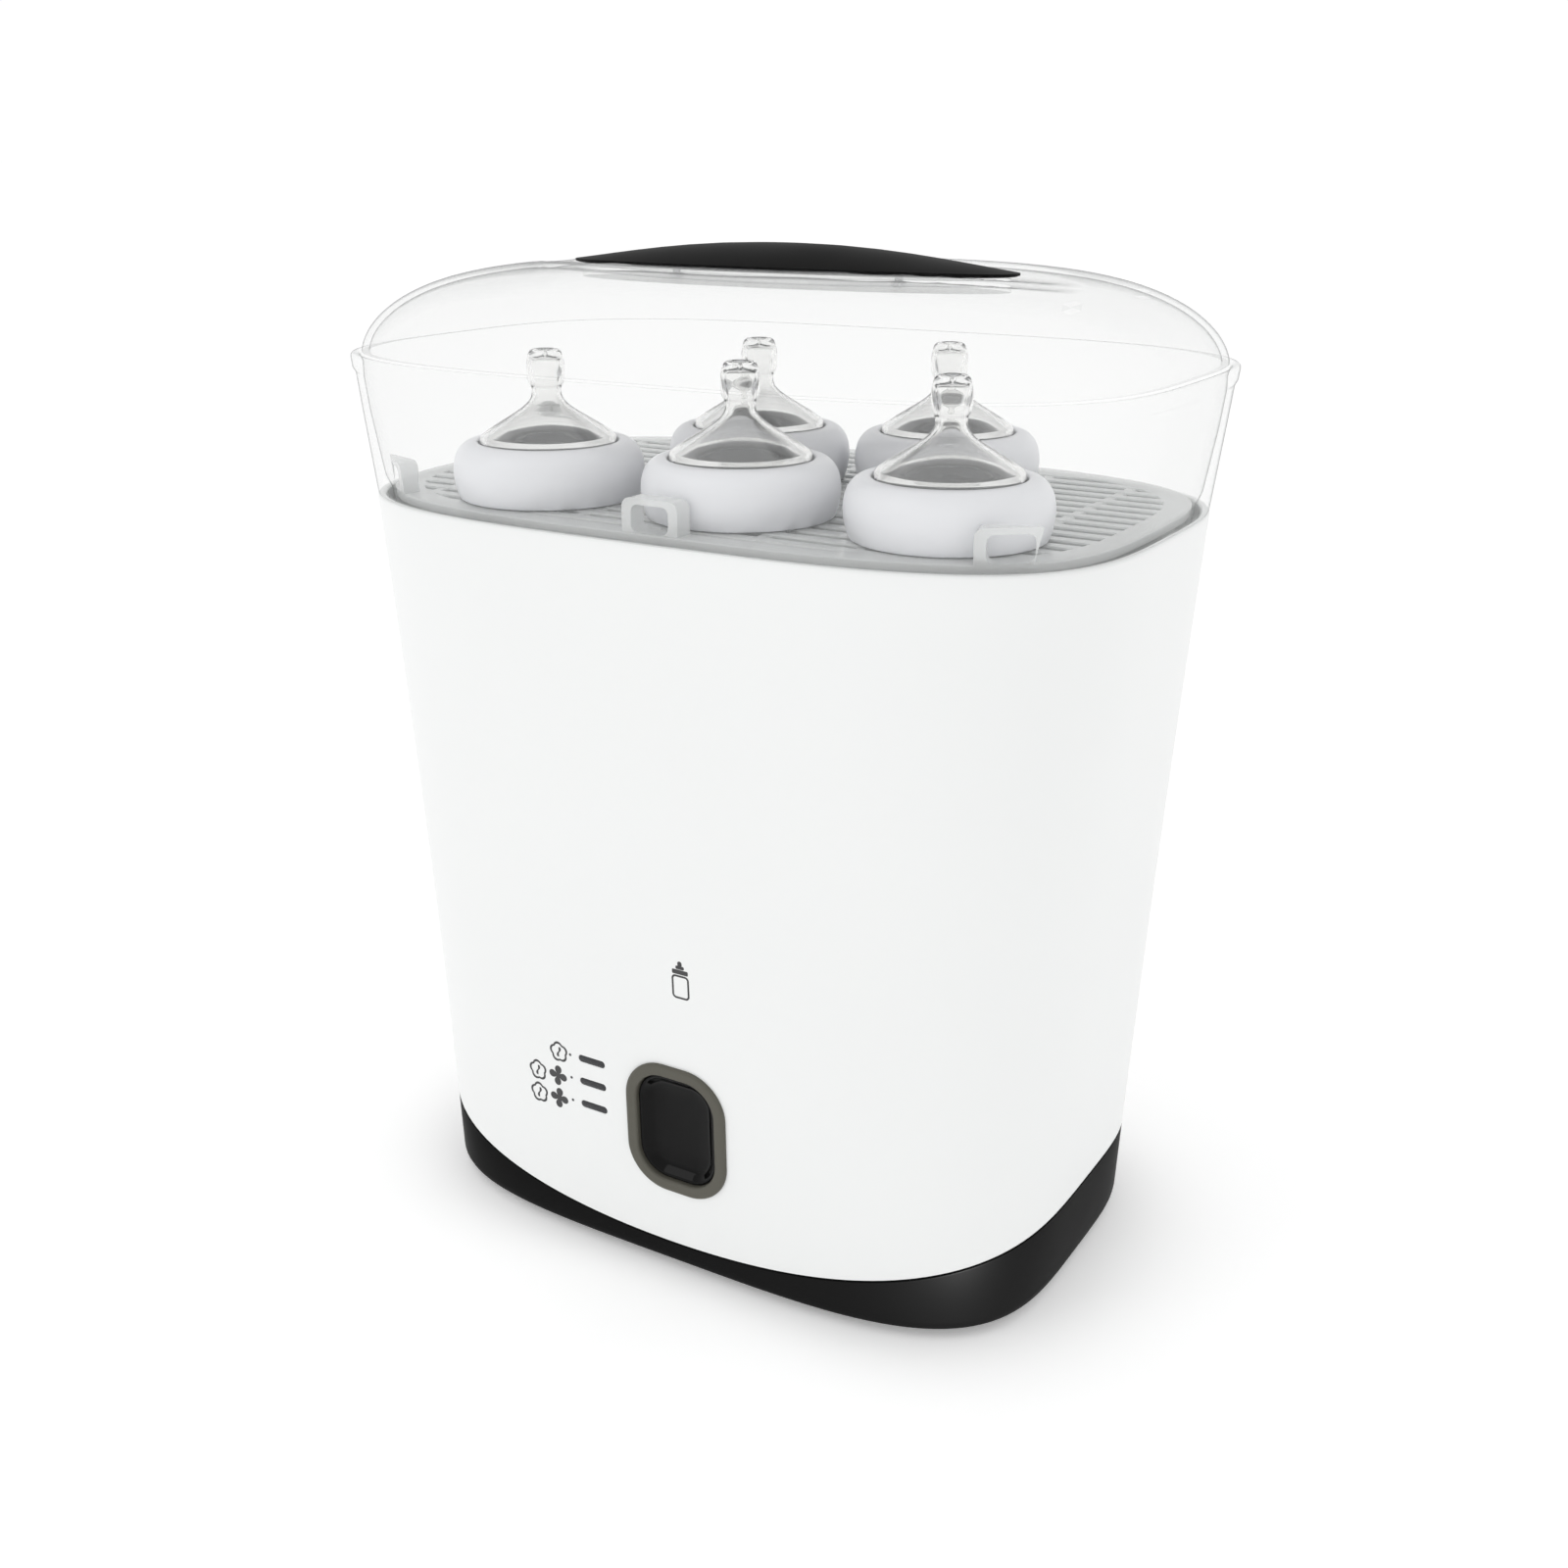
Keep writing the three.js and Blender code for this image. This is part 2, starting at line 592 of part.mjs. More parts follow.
// Elbow that takes the air from the heater up through the chamber floor.
function airDuct() {
  const half = DUCT.width / 2;
  const { x, wall } = DUCT;
  const { bottom, top } = BLOWER;
  const back = HEATER.front - GAP;
  const front = VENT_HOLE.front - wall;
  const [left, right, low] = [x - half + wall, x + half - wall, bottom + wall];
  const riser = box([x - half, front, bottom], [x + half, back, LINER_FLOOR - GAP]);
  const upright = box([left, front + wall, low], [right, back - wall, LINER_FLOOR]);
  const inlet = box([left, back - wall - 1, low], [right, back + 1, top - wall]);
  return cut(riser, upright, inlet);
}

addPart('fan_motor', fanMotor(), zincSteel);
addPart('fan_housing', fanHousing(), heatPlastic);
addPart('fan_impeller', fanImpeller(), heatPlastic);
addPart('fan_cover', fanCover(), heatPlastic);
addPart('air_heater', airHeater(), ceramic);
addPart('air_duct', airDuct(), heatPlastic);

// ---- Air inlet on the back ----

const FILTER_FRAME_FRONT = 70;

// Slotted panel flush with the back, with a frame behind it that holds the filter pad.
function filterCover() {
  const behindPanel = bodyCore(HOUSING_WALL, 20, 95);
  const panel = cut(rearWindow(FILTER, GAP, 50).intersect(bodyCore(0, 30, 90)), behindPanel);
  const frame = rearWindow(FILTER, 2, FILTER_FRAME_FRONT).intersect(bodyCore(1, 30, 90));
  const pocket = rearWindow(FILTER, 4.5, 50).intersect(behindPanel);
  const slots = [];
  for (let i = -2; i <= 2; i += 1) {
    const z = FILTER.z + 6 * i;
    slots.push(box([FILTER.x - 23, 50, z - 1.4], [FILTER.x + 23, 120, z + 1.4]));
  }
  return cut(unite(panel, cut(frame, pocket)), ...slots);
}

function airFilter() {
  const [w, h] = [FILTER.width / 2 - 5, FILTER.height / 2 - 5];
  const { x, z } = FILTER;
  return box([x - w, FILTER_FRAME_FRONT - 5, z - h], [x + w, FILTER_FRAME_FRONT + 1, z + h]);
}

addPart('filter_cover', filterCover(), whitePlastic);
addPart('air_filter', airFilter(), filterPad);

// ---- Mains inlet and power board ----

function powerInlet() {
  const { x, z } = INLET;
  const face = outlineAt(z).b - 0.4;
  const flange = rearWindow(INLET, GAP, face - 4).intersect(box([0, 0, 0], [120, face, 90]));
  const body = box([x - 13, face - 22, z - 9], [x + 13, face - 3, z + 9]);
  const socket = box([x - 11, face - 17, z - 7], [x + 11, face + 9, z + 7]);
  const pins = [x - 6, x, x + 6].map((at) => (
    box([at - 0.8, face - 18, z - 2], [at + 0.8, face - 4, z + 2])));
  return unite(cut(unite(flange, body), socket), ...pins);
}

function controlBoard() {
  const z = BOARD_BOTTOM;
  const board = box([28, -30, z], [112, 34, z + 1.6]);
  const capacitor = post(46, -14, 6, z + 1, z + 20, 12);
  const relay = box([64, -22, z + 1], [84, -8, z + 17]);
  const transformer = box([88, 0, z + 1], [108, 22, z + 19]);
  const terminals = box([40, 20, z + 1], [70, 28, z + 11]);
  return unite(board, capacitor, relay, transformer, terminals);
}

addPart('power_inlet', powerInlet(), heatPlastic);
addPart('control_board', controlBoard(), boardGreen);

// ---- Tray: clear flared ring, slatted floor, and the bottle tops that stand on it ----

function trayWall() {
  const skirt = HOUSING_WALL + 0.6;
  const seat = HOUSING_TOP + GAP;
  return ovalTurned([
    inset(seat, 0.4), inset(RIM_TOP - 4, 0.6), inset(RIM_TOP - 2.8, -0.4), inset(RIM_TOP, -0.4),
    inset(RIM_TOP, 2), inset(RIM_TOP - 3, TRAY_WALL), inset(seat + 2, skirt + 1.6),
    inset(TRAY_LEDGE, skirt + 1.6), inset(TRAY_LEDGE, skirt + 8), inset(TRAY_LEDGE - 1.8, skirt + 8),
    inset(TRAY_LEDGE - 1.8, skirt + 1.8), inset(263, skirt + 1.8), inset(263, skirt), inset(seat, skirt),
    inset(seat, 0.4),
  ]);
}

// Hollow arch that stands on the grid just inside the wall: a finger lift.
function fingerArch(x, y, turn) {
  const [width, height, depth, wall] = [21, 11.5, 7, 2];
  const bottom = GRID_TOP - 0.5;
  const outer = new THREE.BoxGeometry(width, depth, height);
  const inner = new THREE.BoxGeometry(width - 2 * wall, depth + 4, height - wall).translate(0, 0, -wall / 2);
  for (const block of [outer, inner]) {
    block.rotateZ(turn).translate(x, y, bottom + height / 2);
  }
  const belowGrid = box([-200, -200, 0], [200, 200, GRID_TOP]);
  return { outer: solidOf(outer), inner: cut(solidOf(inner), belowGrid) };
}

function trayGrid() {
  const bottom = TRAY_LEDGE + GAP;
  const reach = outlineAt(GRID_TOP).a - HOUSING_WALL - 2.2 - 0.5;
  const plate = (r, low, high) => ovalTurned([[0, low], [r, low], [r, high], [0, high]]);
  const frame = cut(plate(reach, bottom, GRID_TOP), plate(reach - 9, bottom - 5, GRID_TOP + 5));
  const slats = [];
  for (let i = -4; i <= 4; i += 1) {
    slats.push(box([-150, i * 18 - 5, bottom + 0.8], [150, i * 18 + 5, GRID_TOP]));
  }
  for (const x of [-70, 0, 70]) {
    slats.push(box([x - 2, -100, bottom], [x + 2, 100, GRID_TOP]));
  }
  const floor = unite(frame, unite(...slats).intersect(plate(reach - 4, bottom, GRID_TOP)));
  const arches = FINGER_ARCHES.map(([x, y, turn]) => fingerArch(x, y, turn));
  const solid = unite(floor, ...arches.map((arch) => arch.outer));
  const open = cut(solid, ...arches.map((arch) => arch.inner));
  return open.intersect(plate(reach + 0.3, bottom, GRID_TOP + 30));
}

function bottleCollar(x, y) {
  const { radius, height, opening } = COLLAR;
  const bottom = GRID_TOP + GAP;
  return turned([
    [radius - 2, bottom], [radius, bottom + height * 0.45], [radius - 1.6, bottom + height * 0.8],
    [radius - 5, bottom + height], [opening, bottom + height], [opening, bottom + height - 2.5],
    [radius - 4.4, bottom + height - 3.2], [radius - 4.4, bottom], [radius - 2, bottom],
  ], 22, x, y);
}

function bottleTeat(x, y) {
  const base = GRID_TOP + COLLAR.height - 2.9;
  const edge = COLLAR.opening - 0.6;
  return turned([
    [edge + 2.6, base - 2], [edge + 2.6, base], [edge, base], [edge, base + 4.5], [8, base + 15],
    [5.4, base + 18], [6.4, base + 30], [3, base + 33.8], [1, base + 33.8], [1, base + 31], [3.8, base + 18],
    [6.4, base + 13.6], [edge - 1.8, base + 3.6], [edge - 1.8, base - 2], [edge + 2.6, base - 2],
  ], 12, x, y);
}

addPart('tray_wall', trayWall(), clearPlastic);
addPart('tray_grid', trayGrid(), clearPlastic);
BOTTLE_TOP_SPOTS.forEach(([x, y], i) => {
  addPart(`bottle_collar_${i + 1}`, bottleCollar(x, y), collarPlastic);
  addPart(`bottle_teat_${i + 1}`, bottleTeat(x, y), clearSilicone);
});

// ---- Lid: domed shell with steam vents, and the grip screwed to it from inside ----

const LID_BOTTOM = RIM_TOP + GAP;
const LENS_SQUARENESS = 1.8;     // of the grip's pointed oval outline

// How far the crown dips round the grip.
function hollowDrop(x, y) {
  const reach = Math.hypot(x / HOLLOW.reach, y / HOLLOW.depth);
  return reach < 1 ? HOLLOW.drop * Math.cos((reach * Math.PI) / 2) ** 0.8 : 0;
}

// Dome profile from the rim to the crown, with its skin moved in by an amount.
function domeCurve(skin) {
  const reach = outlineAt(RIM_TOP).a - LID_INSET - skin;
  const rise = LID_RISE - skin * 0.9;
  const points = [[reach, LID_BOTTOM]];
  for (const angle of [0.25, 0.6, 0.95, 1.22, 1.42]) {
    points.push([reach * Math.cos(angle) ** 0.42, LID_BOTTOM + rise * Math.sin(angle) ** 1.2]);
  }
  points.push([0, LID_BOTTOM + rise]);
  return points;
}

// Upright piece on the grip's pointed oval, from a profile of [share of the outline, z] points.
function lensTurned(profile, reach, depth, steps, lift = () => 0) {
  return shapedTurned(profile, steps, (angle, r, z) => {
    const x = r * reach * signedPower(Math.cos(angle), 2 / LENS_SQUARENESS);
    const y = r * depth * signedPower(Math.sin(angle), 2 / LENS_SQUARENESS);
    return [x, y, z + lift(x, z)];
  });
}

function lidDome() {
  const { a, b } = outlineAt(RIM_TOP);
  const squeeze = b / a;
  const squareness = outlineAt(RIM_TOP).n;
  const outer = domeCurve(0);
  const inner = domeCurve(LID_WALL).reverse();
  const shell = shapedTurned([...outer, ...inner, outer[0]], OUTLINE_STEPS, (angle, r, z) => {
    const x = r * signedPower(Math.cos(angle), 2 / squareness);
    const y = r * squeeze * signedPower(Math.sin(angle), 2 / squareness);
    return [x, y, z - hollowDrop(x, y)];
  });
  const plinthBottom = LID_BOTTOM + LID_RISE - HOLLOW.drop - 1.5;
  const plinthTop = GRIP.base - GAP;
  const plinthProfile = [[0, plinthBottom], [1, plinthBottom], [1, plinthTop], [0, plinthTop]];
  const plinth = lensTurned(plinthProfile, GRIP.reach - 6, GRIP.depth - 3, 28);
  const { x, width, length } = VENT;
  const vents = [-VENT.y, VENT.y].map((y) => (
    box([x - width / 2, y - length / 2, RIM_TOP], [x + width / 2, y + length / 2, GRIP_TOP])));
  const screwHoles = [-1, 1].map((side) => post(side * GRIP.screwX, 0, 2, 300, 360, 8));
  return cut(unite(shell, plinth), ...vents, ...screwHoles);
}

// Arched cap: low rim, crowned top, and two blind holes for the screws.
function handleGrip() {
  const { reach, depth, base, edge, arch, screwX } = GRIP;
  const crown = (share) => [share, base + edge + (GRIP_TOP - base - edge) * (1 - share ** 2.4)];
  const profile = [[0, base], [1, base], crown(1), crown(0.85), crown(0.6), crown(0.3), crown(0)];
  const sagOf = (x, z) => -arch * (x / reach) ** 2 * ((z - base) / (GRIP_TOP - base));
  const cap = lensTurned(profile, reach, depth, 36, sagOf);
  return cut(cap, ...[-1, 1].map((side) => post(side * screwX, 0, 1.9, base - 1, base + 4.4, 8)));
}

function gripScrew(x) {
  const under = LID_BOTTOM + LID_RISE - HOLLOW.drop - 4.4;
  const tip = GRIP.base + 4;
  return turned([
    [0, under - 2.2], [3.4, under - 2.2], [3.4, under], [1.5, under], [1.5, tip], [0, tip],
  ], 8, x, 0);
}

addPart('lid_dome', lidDome(), clearPlastic);
addPart('handle_grip', handleGrip(), gripPlastic);
addPart('handle_screw_left', gripScrew(-GRIP.screwX), zincSteel);
addPart('handle_screw_right', gripScrew(GRIP.screwX), zincSteel);

export default sterilizer;
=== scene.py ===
"""Looks of the bottle sterilizer: shells, clear plastic, controls and bottle tops round the CAD frame."""

import math

import bmesh
import bpy
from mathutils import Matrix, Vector


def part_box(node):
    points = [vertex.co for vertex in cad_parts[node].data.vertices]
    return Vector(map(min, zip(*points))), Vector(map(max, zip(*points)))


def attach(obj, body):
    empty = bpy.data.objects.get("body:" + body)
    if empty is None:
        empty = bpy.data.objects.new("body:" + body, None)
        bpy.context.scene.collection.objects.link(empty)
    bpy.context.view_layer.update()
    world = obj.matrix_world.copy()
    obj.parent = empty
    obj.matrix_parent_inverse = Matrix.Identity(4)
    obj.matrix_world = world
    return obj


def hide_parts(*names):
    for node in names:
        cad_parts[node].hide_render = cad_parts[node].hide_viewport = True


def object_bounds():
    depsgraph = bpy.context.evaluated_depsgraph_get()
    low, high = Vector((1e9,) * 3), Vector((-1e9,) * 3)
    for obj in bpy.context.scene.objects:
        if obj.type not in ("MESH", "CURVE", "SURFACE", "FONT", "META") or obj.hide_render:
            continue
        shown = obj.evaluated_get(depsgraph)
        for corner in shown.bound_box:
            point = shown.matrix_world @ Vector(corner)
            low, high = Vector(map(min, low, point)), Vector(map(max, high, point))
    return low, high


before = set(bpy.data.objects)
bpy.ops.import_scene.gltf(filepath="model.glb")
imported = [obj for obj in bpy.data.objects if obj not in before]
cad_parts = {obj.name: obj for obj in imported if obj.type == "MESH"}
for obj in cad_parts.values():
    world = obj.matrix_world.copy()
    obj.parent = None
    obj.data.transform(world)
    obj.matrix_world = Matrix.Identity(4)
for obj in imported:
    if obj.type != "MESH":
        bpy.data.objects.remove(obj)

CAD_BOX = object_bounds()
MM = 0.001

# ---- Driving dimensions, from the frame where it holds them ----

HOUSING_LOW, HOUSING_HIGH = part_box("housing")
BASE_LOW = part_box("base_cover")[0]
TRAY_LOW, TRAY_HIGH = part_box("tray_wall")
LID_LOW, LID_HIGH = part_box("lid_dome")
GRIP_LOW, GRIP_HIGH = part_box("handle_grip")
GRID_LOW, GRID_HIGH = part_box("tray_grid")
LINER_LOW, LINER_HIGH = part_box("chamber_liner")
BEZEL_LOW, BEZEL_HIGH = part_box("button_bezel")
FILTER_LOW, FILTER_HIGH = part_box("filter_cover")
INLET_LOW, INLET_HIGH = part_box("power_inlet")

TOP = HOUSING_HIGH.z             # top edge of the white housing
RIM = TRAY_HIGH.z                # top edge of the clear tray
LIP = 0.4 * MM                   # the rim's lip stands this proud of the tray wall
TOP_HALF = (HOUSING_HIGH.x, -HOUSING_LOW.y)
RIM_HALF = (TRAY_HIGH.x - LIP, TRAY_HIGH.y - LIP)
FLARE = (17.4 * MM, 13.3 * MM)   # growth of the half-sizes from the table to the housing's top
BOW = (0.17, 0.7)                # share of that growth that comes late, near the top
SQUARENESS = (3.83, 3.5, 3.38)   # of the outline at the table, the housing's top and the rim

SEAM_LOW = 11.5 * MM             # the seam's height at the middle of the front
SEAM_CURVE = 1.426               # metres of rise per square metre of reach along X
WALL = 2.6 * MM
SEGMENTS = 240                   # points round the smooth oval outlines

BEZEL_BAND = 4.6 * MM
BEZEL_CORNER = 16 * MM
BAR_NODES = ("light_pipe_bottom", "light_pipe_middle", "light_pipe_top")


# ---- The outline ----

def half_sizes(z):
    """Half-length, half-depth and squareness of the body at a height."""
    if z <= TOP:
        t = z / TOP
        a, b = (
            top - flare * (1 - (1 - bow) * t - bow * t * t)
            for top, flare, bow in zip(TOP_HALF, FLARE, BOW)
        )
        return a, b, SQUARENESS[0] + (SQUARENESS[1] - SQUARENESS[0]) * t
    t = (z - TOP) / (RIM - TOP)
    a, b = (top + (rim - top) * t for top, rim in zip(TOP_HALF, RIM_HALF))
    return a, b, SQUARENESS[1] + (SQUARENESS[2] - SQUARENESS[1]) * t


def outline_point(angle, z, inset=0.0):
    """Point of the outline at a height, moved in by an inset."""
    a, b, n = half_sizes(z)
    a, b = a - inset, b - inset
    c, s = math.cos(angle), math.sin(angle)
    reach = (abs(c / a) ** n + abs(s / b) ** n) ** (-1 / n)
    return Vector((reach * c, reach * s, z))


def surface_y(x, z, inset=0.0):
    """How far in front of or behind the middle the body's face is at x and z."""
    a, b, n = half_sizes(z)
    return (b - inset) * (1 - min(abs(x / (a - inset)), 0.999) ** n) ** (1 / n)


def seam_height(x):
    """Height of the seam between base and housing, which rises towards the ends."""
    return SEAM_LOW + SEAM_CURVE * x * x


def oval_ring(inset, height):
    """Ring of outline points. The height is a number, or a function of x."""
    points = []
    for i in range(SEGMENTS):
        angle = 2 * math.pi * i / SEGMENTS
        z = height if not callable(height) else height(0)
        p = outline_point(angle, z, inset)
        if callable(height):
            for _ in range(4):
                p = outline_point(angle, height(p.x), inset)
        points.append(p)
    return points


# ---- Mesh building ----

def link(name, mesh, *materials):
    """New object in the scene from a mesh and its materials."""
    obj = bpy.data.objects.new(name, mesh)
    bpy.context.collection.objects.link(obj)
    for material in materials:
        mesh.materials.append(material)
    return obj


def finish_mesh(obj, crease=35):
    """Points the faces outwards and shades the piece smooth, with edges past the crease angle sharp."""
    bm = bmesh.new()
    bm.from_mesh(obj.data)
    bmesh.ops.remove_doubles(bm, verts=bm.verts, dist=1e-7)
    bmesh.ops.dissolve_degenerate(bm, edges=bm.edges, dist=1e-7)
    bmesh.ops.recalc_face_normals(bm, faces=bm.faces)
    for face in bm.faces:
        face.smooth = True
    for edge in bm.edges:
        edge.smooth = len(edge.link_faces) == 2 and edge.calc_face_angle(0) < math.radians(crease)
    bm.to_mesh(obj.data)
    bm.free()
    return obj


def loft(name, rings, material, closed=False, crease=35):
    """Skin over rings of points.

    A ring of one point is a pole, and a closed loft joins the last ring to the first.
    """
    bm = bmesh.new()
    layers = [[bm.verts.new(p) for p in ring] for ring in rings]
    pairs = list(zip(layers, layers[1:]))
    if closed:
        pairs.append((layers[-1], layers[0]))
    for low, high in pairs:
        count = max(len(low), len(high))
        if count == 1:
            continue
        for i in range(count):
            j = (i + 1) % count
            corners = [low[i % len(low)], low[j % len(low)], high[j % len(high)], high[i % len(high)]]
            bm.faces.new(list(dict.fromkeys(corners)))
    if not closed:
        for end in (layers[0], layers[-1]):
            if len(end) > 2:
                bm.faces.new(end)
    mesh = bpy.data.meshes.new(name)
    bm.to_mesh(mesh)
    bm.free()
    return finish_mesh(link(name, mesh, material), crease)


def rounded(points, steps=4):
    """Profile of (u, v, radius) corners with each corner cut by a curve of about that radius."""
    profile = []
    count = len(points)
    for i, (u, v, radius) in enumerate(points):
        here = Vector((u, v))
        if radius == 0:
            profile.append(here)
            continue
        before = Vector(points[i - 1][:2]) - here
        after = Vector(points[(i + 1) % count][:2]) - here
        start = here + before.normalized() * min(radius, before.length * 0.49)
        end = here + after.normalized() * min(radius, after.length * 0.49)
        for k in range(steps + 1):
            t = k / steps
            profile.append(start * (1 - t) ** 2 + here * (2 * t * (1 - t)) + end * t * t)
    return profile


def ring_of(radius, z, centre, steps):
    """Level circle of points, or a single point where the radius is nothing."""
    if radius < 1e-6:
        return [Vector((centre[0], centre[1], z))]
    return [
        Vector((
            centre[0] + radius * math.cos(2 * math.pi * i / steps),
            centre[1] + radius * math.sin(2 * math.pi * i / steps),
            z,
        ))
        for i in range(steps)
    ]


def lathe(name, profile, centre, material, steps=64, closed=False, crease=35):
    """Round piece about a vertical axis from (radius, z) points."""
    return loft(name, [ring_of(r, z, centre, steps) for r, z in profile], material, closed, crease)


def boolean(obj, operation, *others, crease=35):
    """Joins or cuts other pieces into obj, and removes them."""
    for other in others:
        modifier = obj.modifiers.new("boolean", "BOOLEAN")
        modifier.operation = operation
        modifier.solver = "EXACT"
        modifier.object = other
    bpy.context.view_layer.update()
    evaluated = obj.evaluated_get(bpy.context.evaluated_depsgraph_get())
    mesh = bpy.data.meshes.new_from_object(evaluated)
    obj.modifiers.clear()
    old = obj.data
    obj.data = mesh
    bpy.data.meshes.remove(old)
    for other in others:
        bpy.data.objects.remove(other)
    return finish_mesh(obj, crease)


def block(name, low, high, material=None):
    """Box from its lowest to its highest corner, as a tool for joins and cuts."""
    xs, ys, zs = zip(low, high)
    rings = [[Vector((xs[i], ys[j], z)) for i, j in ((0, 0), (1, 0), (1, 1), (0, 1))] for z in zs]
    return loft(name, rings, material)


# Outline on the front or back face: a rounded rectangle (x, z), grown or shrunk.

def plate_outline(middle, size, corner, grow=0.0, steps=14):
    """Rounded rectangle of (x, z) points."""
    w, h = size[0] / 2 + grow, size[1] / 2 + grow
    r = min(max(corner + grow, 0.05 * MM), w, h)
    points = []
    for quarter, (sx, sz) in enumerate(((1, 1), (-1, 1), (-1, -1), (1, -1))):
        for k in range(steps + 1):
            angle = math.pi / 2 * (quarter + k / steps)
            points.append((
                middle[0] + sx * (w - r) + r * math.cos(angle),
                middle[1] + sz * (h - r) + r * math.sin(angle),
            ))
    return points


def face_ring(outline, depth, side=-1):
    """Outline laid on the body's face, moved in by a depth. Side -1 is the front and 1 the back."""
    return [Vector((x, side * (surface_y(x, z) - depth), z)) for x, z in outline]


def face_prism(name, middle, size, corner, side=-1, grow=0.0, depth=12 * MM):
    """Cutter for a window in the front or back face."""
    outline = plate_outline(middle, size, corner, grow)
    return loft(name, [face_ring(outline, -6 * MM, side), face_ring(outline, depth, side)], None)


# ---- Materials ----

class Finish:
    """A node material round one Principled shader."""

    def __init__(self, name, color, roughness, metallic=0.0):
        self.material = bpy.data.materials.new(name)
        self.material.use_nodes = True
        self.nodes = self.material.node_tree.nodes
        self.links = self.material.node_tree.links
        self.shader = self.nodes["Principled BSDF"]
        self.color = color
        self.roughness = roughness
        self.shader.inputs["Base Color"].default_value = (*color, 1)
        self.shader.inputs["Roughness"].default_value = roughness
        self.shader.inputs["Metallic"].default_value = metallic
        self.place = self.nodes.new("ShaderNodeTexCoord").outputs["Object"]

    def noise(self, scale, detail=3.0, stretch=None):
        """Noise in object coordinates, stretched where asked."""
        place = self.place
        if stretch:
            mapping = self.nodes.new("ShaderNodeMapping")
            mapping.inputs["Scale"].default_value = stretch
            self.links.new(place, mapping.inputs["Vector"])
            place = mapping.outputs["Vector"]
        node = self.nodes.new("ShaderNodeTexNoise")
        node.inputs["Scale"].default_value = scale
        node.inputs["Detail"].default_value = detail
        self.links.new(place, node.inputs["Vector"])
        return node.outputs["Fac"]

    def spread(self, factor, low, high):
        """Noise spread evenly between two values."""
        node = self.nodes.new("ShaderNodeMapRange")
        node.inputs["From Min"].default_value = 0.3
        node.inputs["From Max"].default_value = 0.7
        node.inputs["To Min"].default_value = low
        node.inputs["To Max"].default_value = high
        self.links.new(factor, node.inputs["Value"])
        return node.outputs["Result"]

    def vary_color(self, factor, amount, tint=(1.0, 1.0, 1.0)):
        """Base colour runs between a darker and a lighter shade of itself."""
        ramp = self.nodes.new("ShaderNodeValToRGB")
        ramp.color_ramp.elements[0].position = 0.3
        ramp.color_ramp.elements[1].position = 0.7
        ramp.color_ramp.elements[0].color = (*(c * (1 - amount) for c in self.color), 1)
        bright = (min(c * (1 + amount) * k, 1) for c, k in zip(self.color, tint))
        ramp.color_ramp.elements[1].color = (*bright, 1)
        self.links.new(factor, ramp.inputs["Fac"])
        self.links.new(ramp.outputs["Color"], self.shader.inputs["Base Color"])
        return self

    def vary_roughness(self, factor, amount):
        """Roughness that wanders by a share of itself."""
        low, high = self.roughness * (1 - amount), self.roughness * (1 + amount)
        self.links.new(self.spread(factor, low, high), self.shader.inputs["Roughness"])
        return self

    def bump(self, factor, depth, strength=1.0):
        """Surface relief from a factor, at a real depth."""
        node = self.nodes.new("ShaderNodeBump")
        node.inputs["Distance"].default_value = depth
        node.inputs["Strength"].default_value = strength
        self.links.new(factor, node.inputs["Height"])
        self.links.new(node.outputs["Normal"], self.shader.inputs["Normal"])
        return self


def moulded(name, color, roughness, grain, depth, strength=0.4, shine=0.5, mottle=0.02):
    """Moulded plastic: faint mottling, uneven gloss and a fine surface grain."""
    finish = Finish(name, color, roughness)
    finish.shader.inputs["Specular IOR Level"].default_value = shine
    finish.vary_color(finish.noise(12, 1.0), mottle)
    finish.vary_roughness(finish.noise(25, 1.0), 0.08)
    finish.bump(finish.noise(grain), depth, strength)
    return finish


def brushed(name, color, roughness, stretch):
    """Metal brushed along one direction."""
    finish = Finish(name, color, roughness, metallic=1.0)
    lines = finish.noise(60, 4.0, stretch)
    finish.vary_color(lines, 0.06)
    finish.vary_roughness(lines, 0.25)
    finish.bump(lines, 0.02 * MM, 0.5)
    return finish


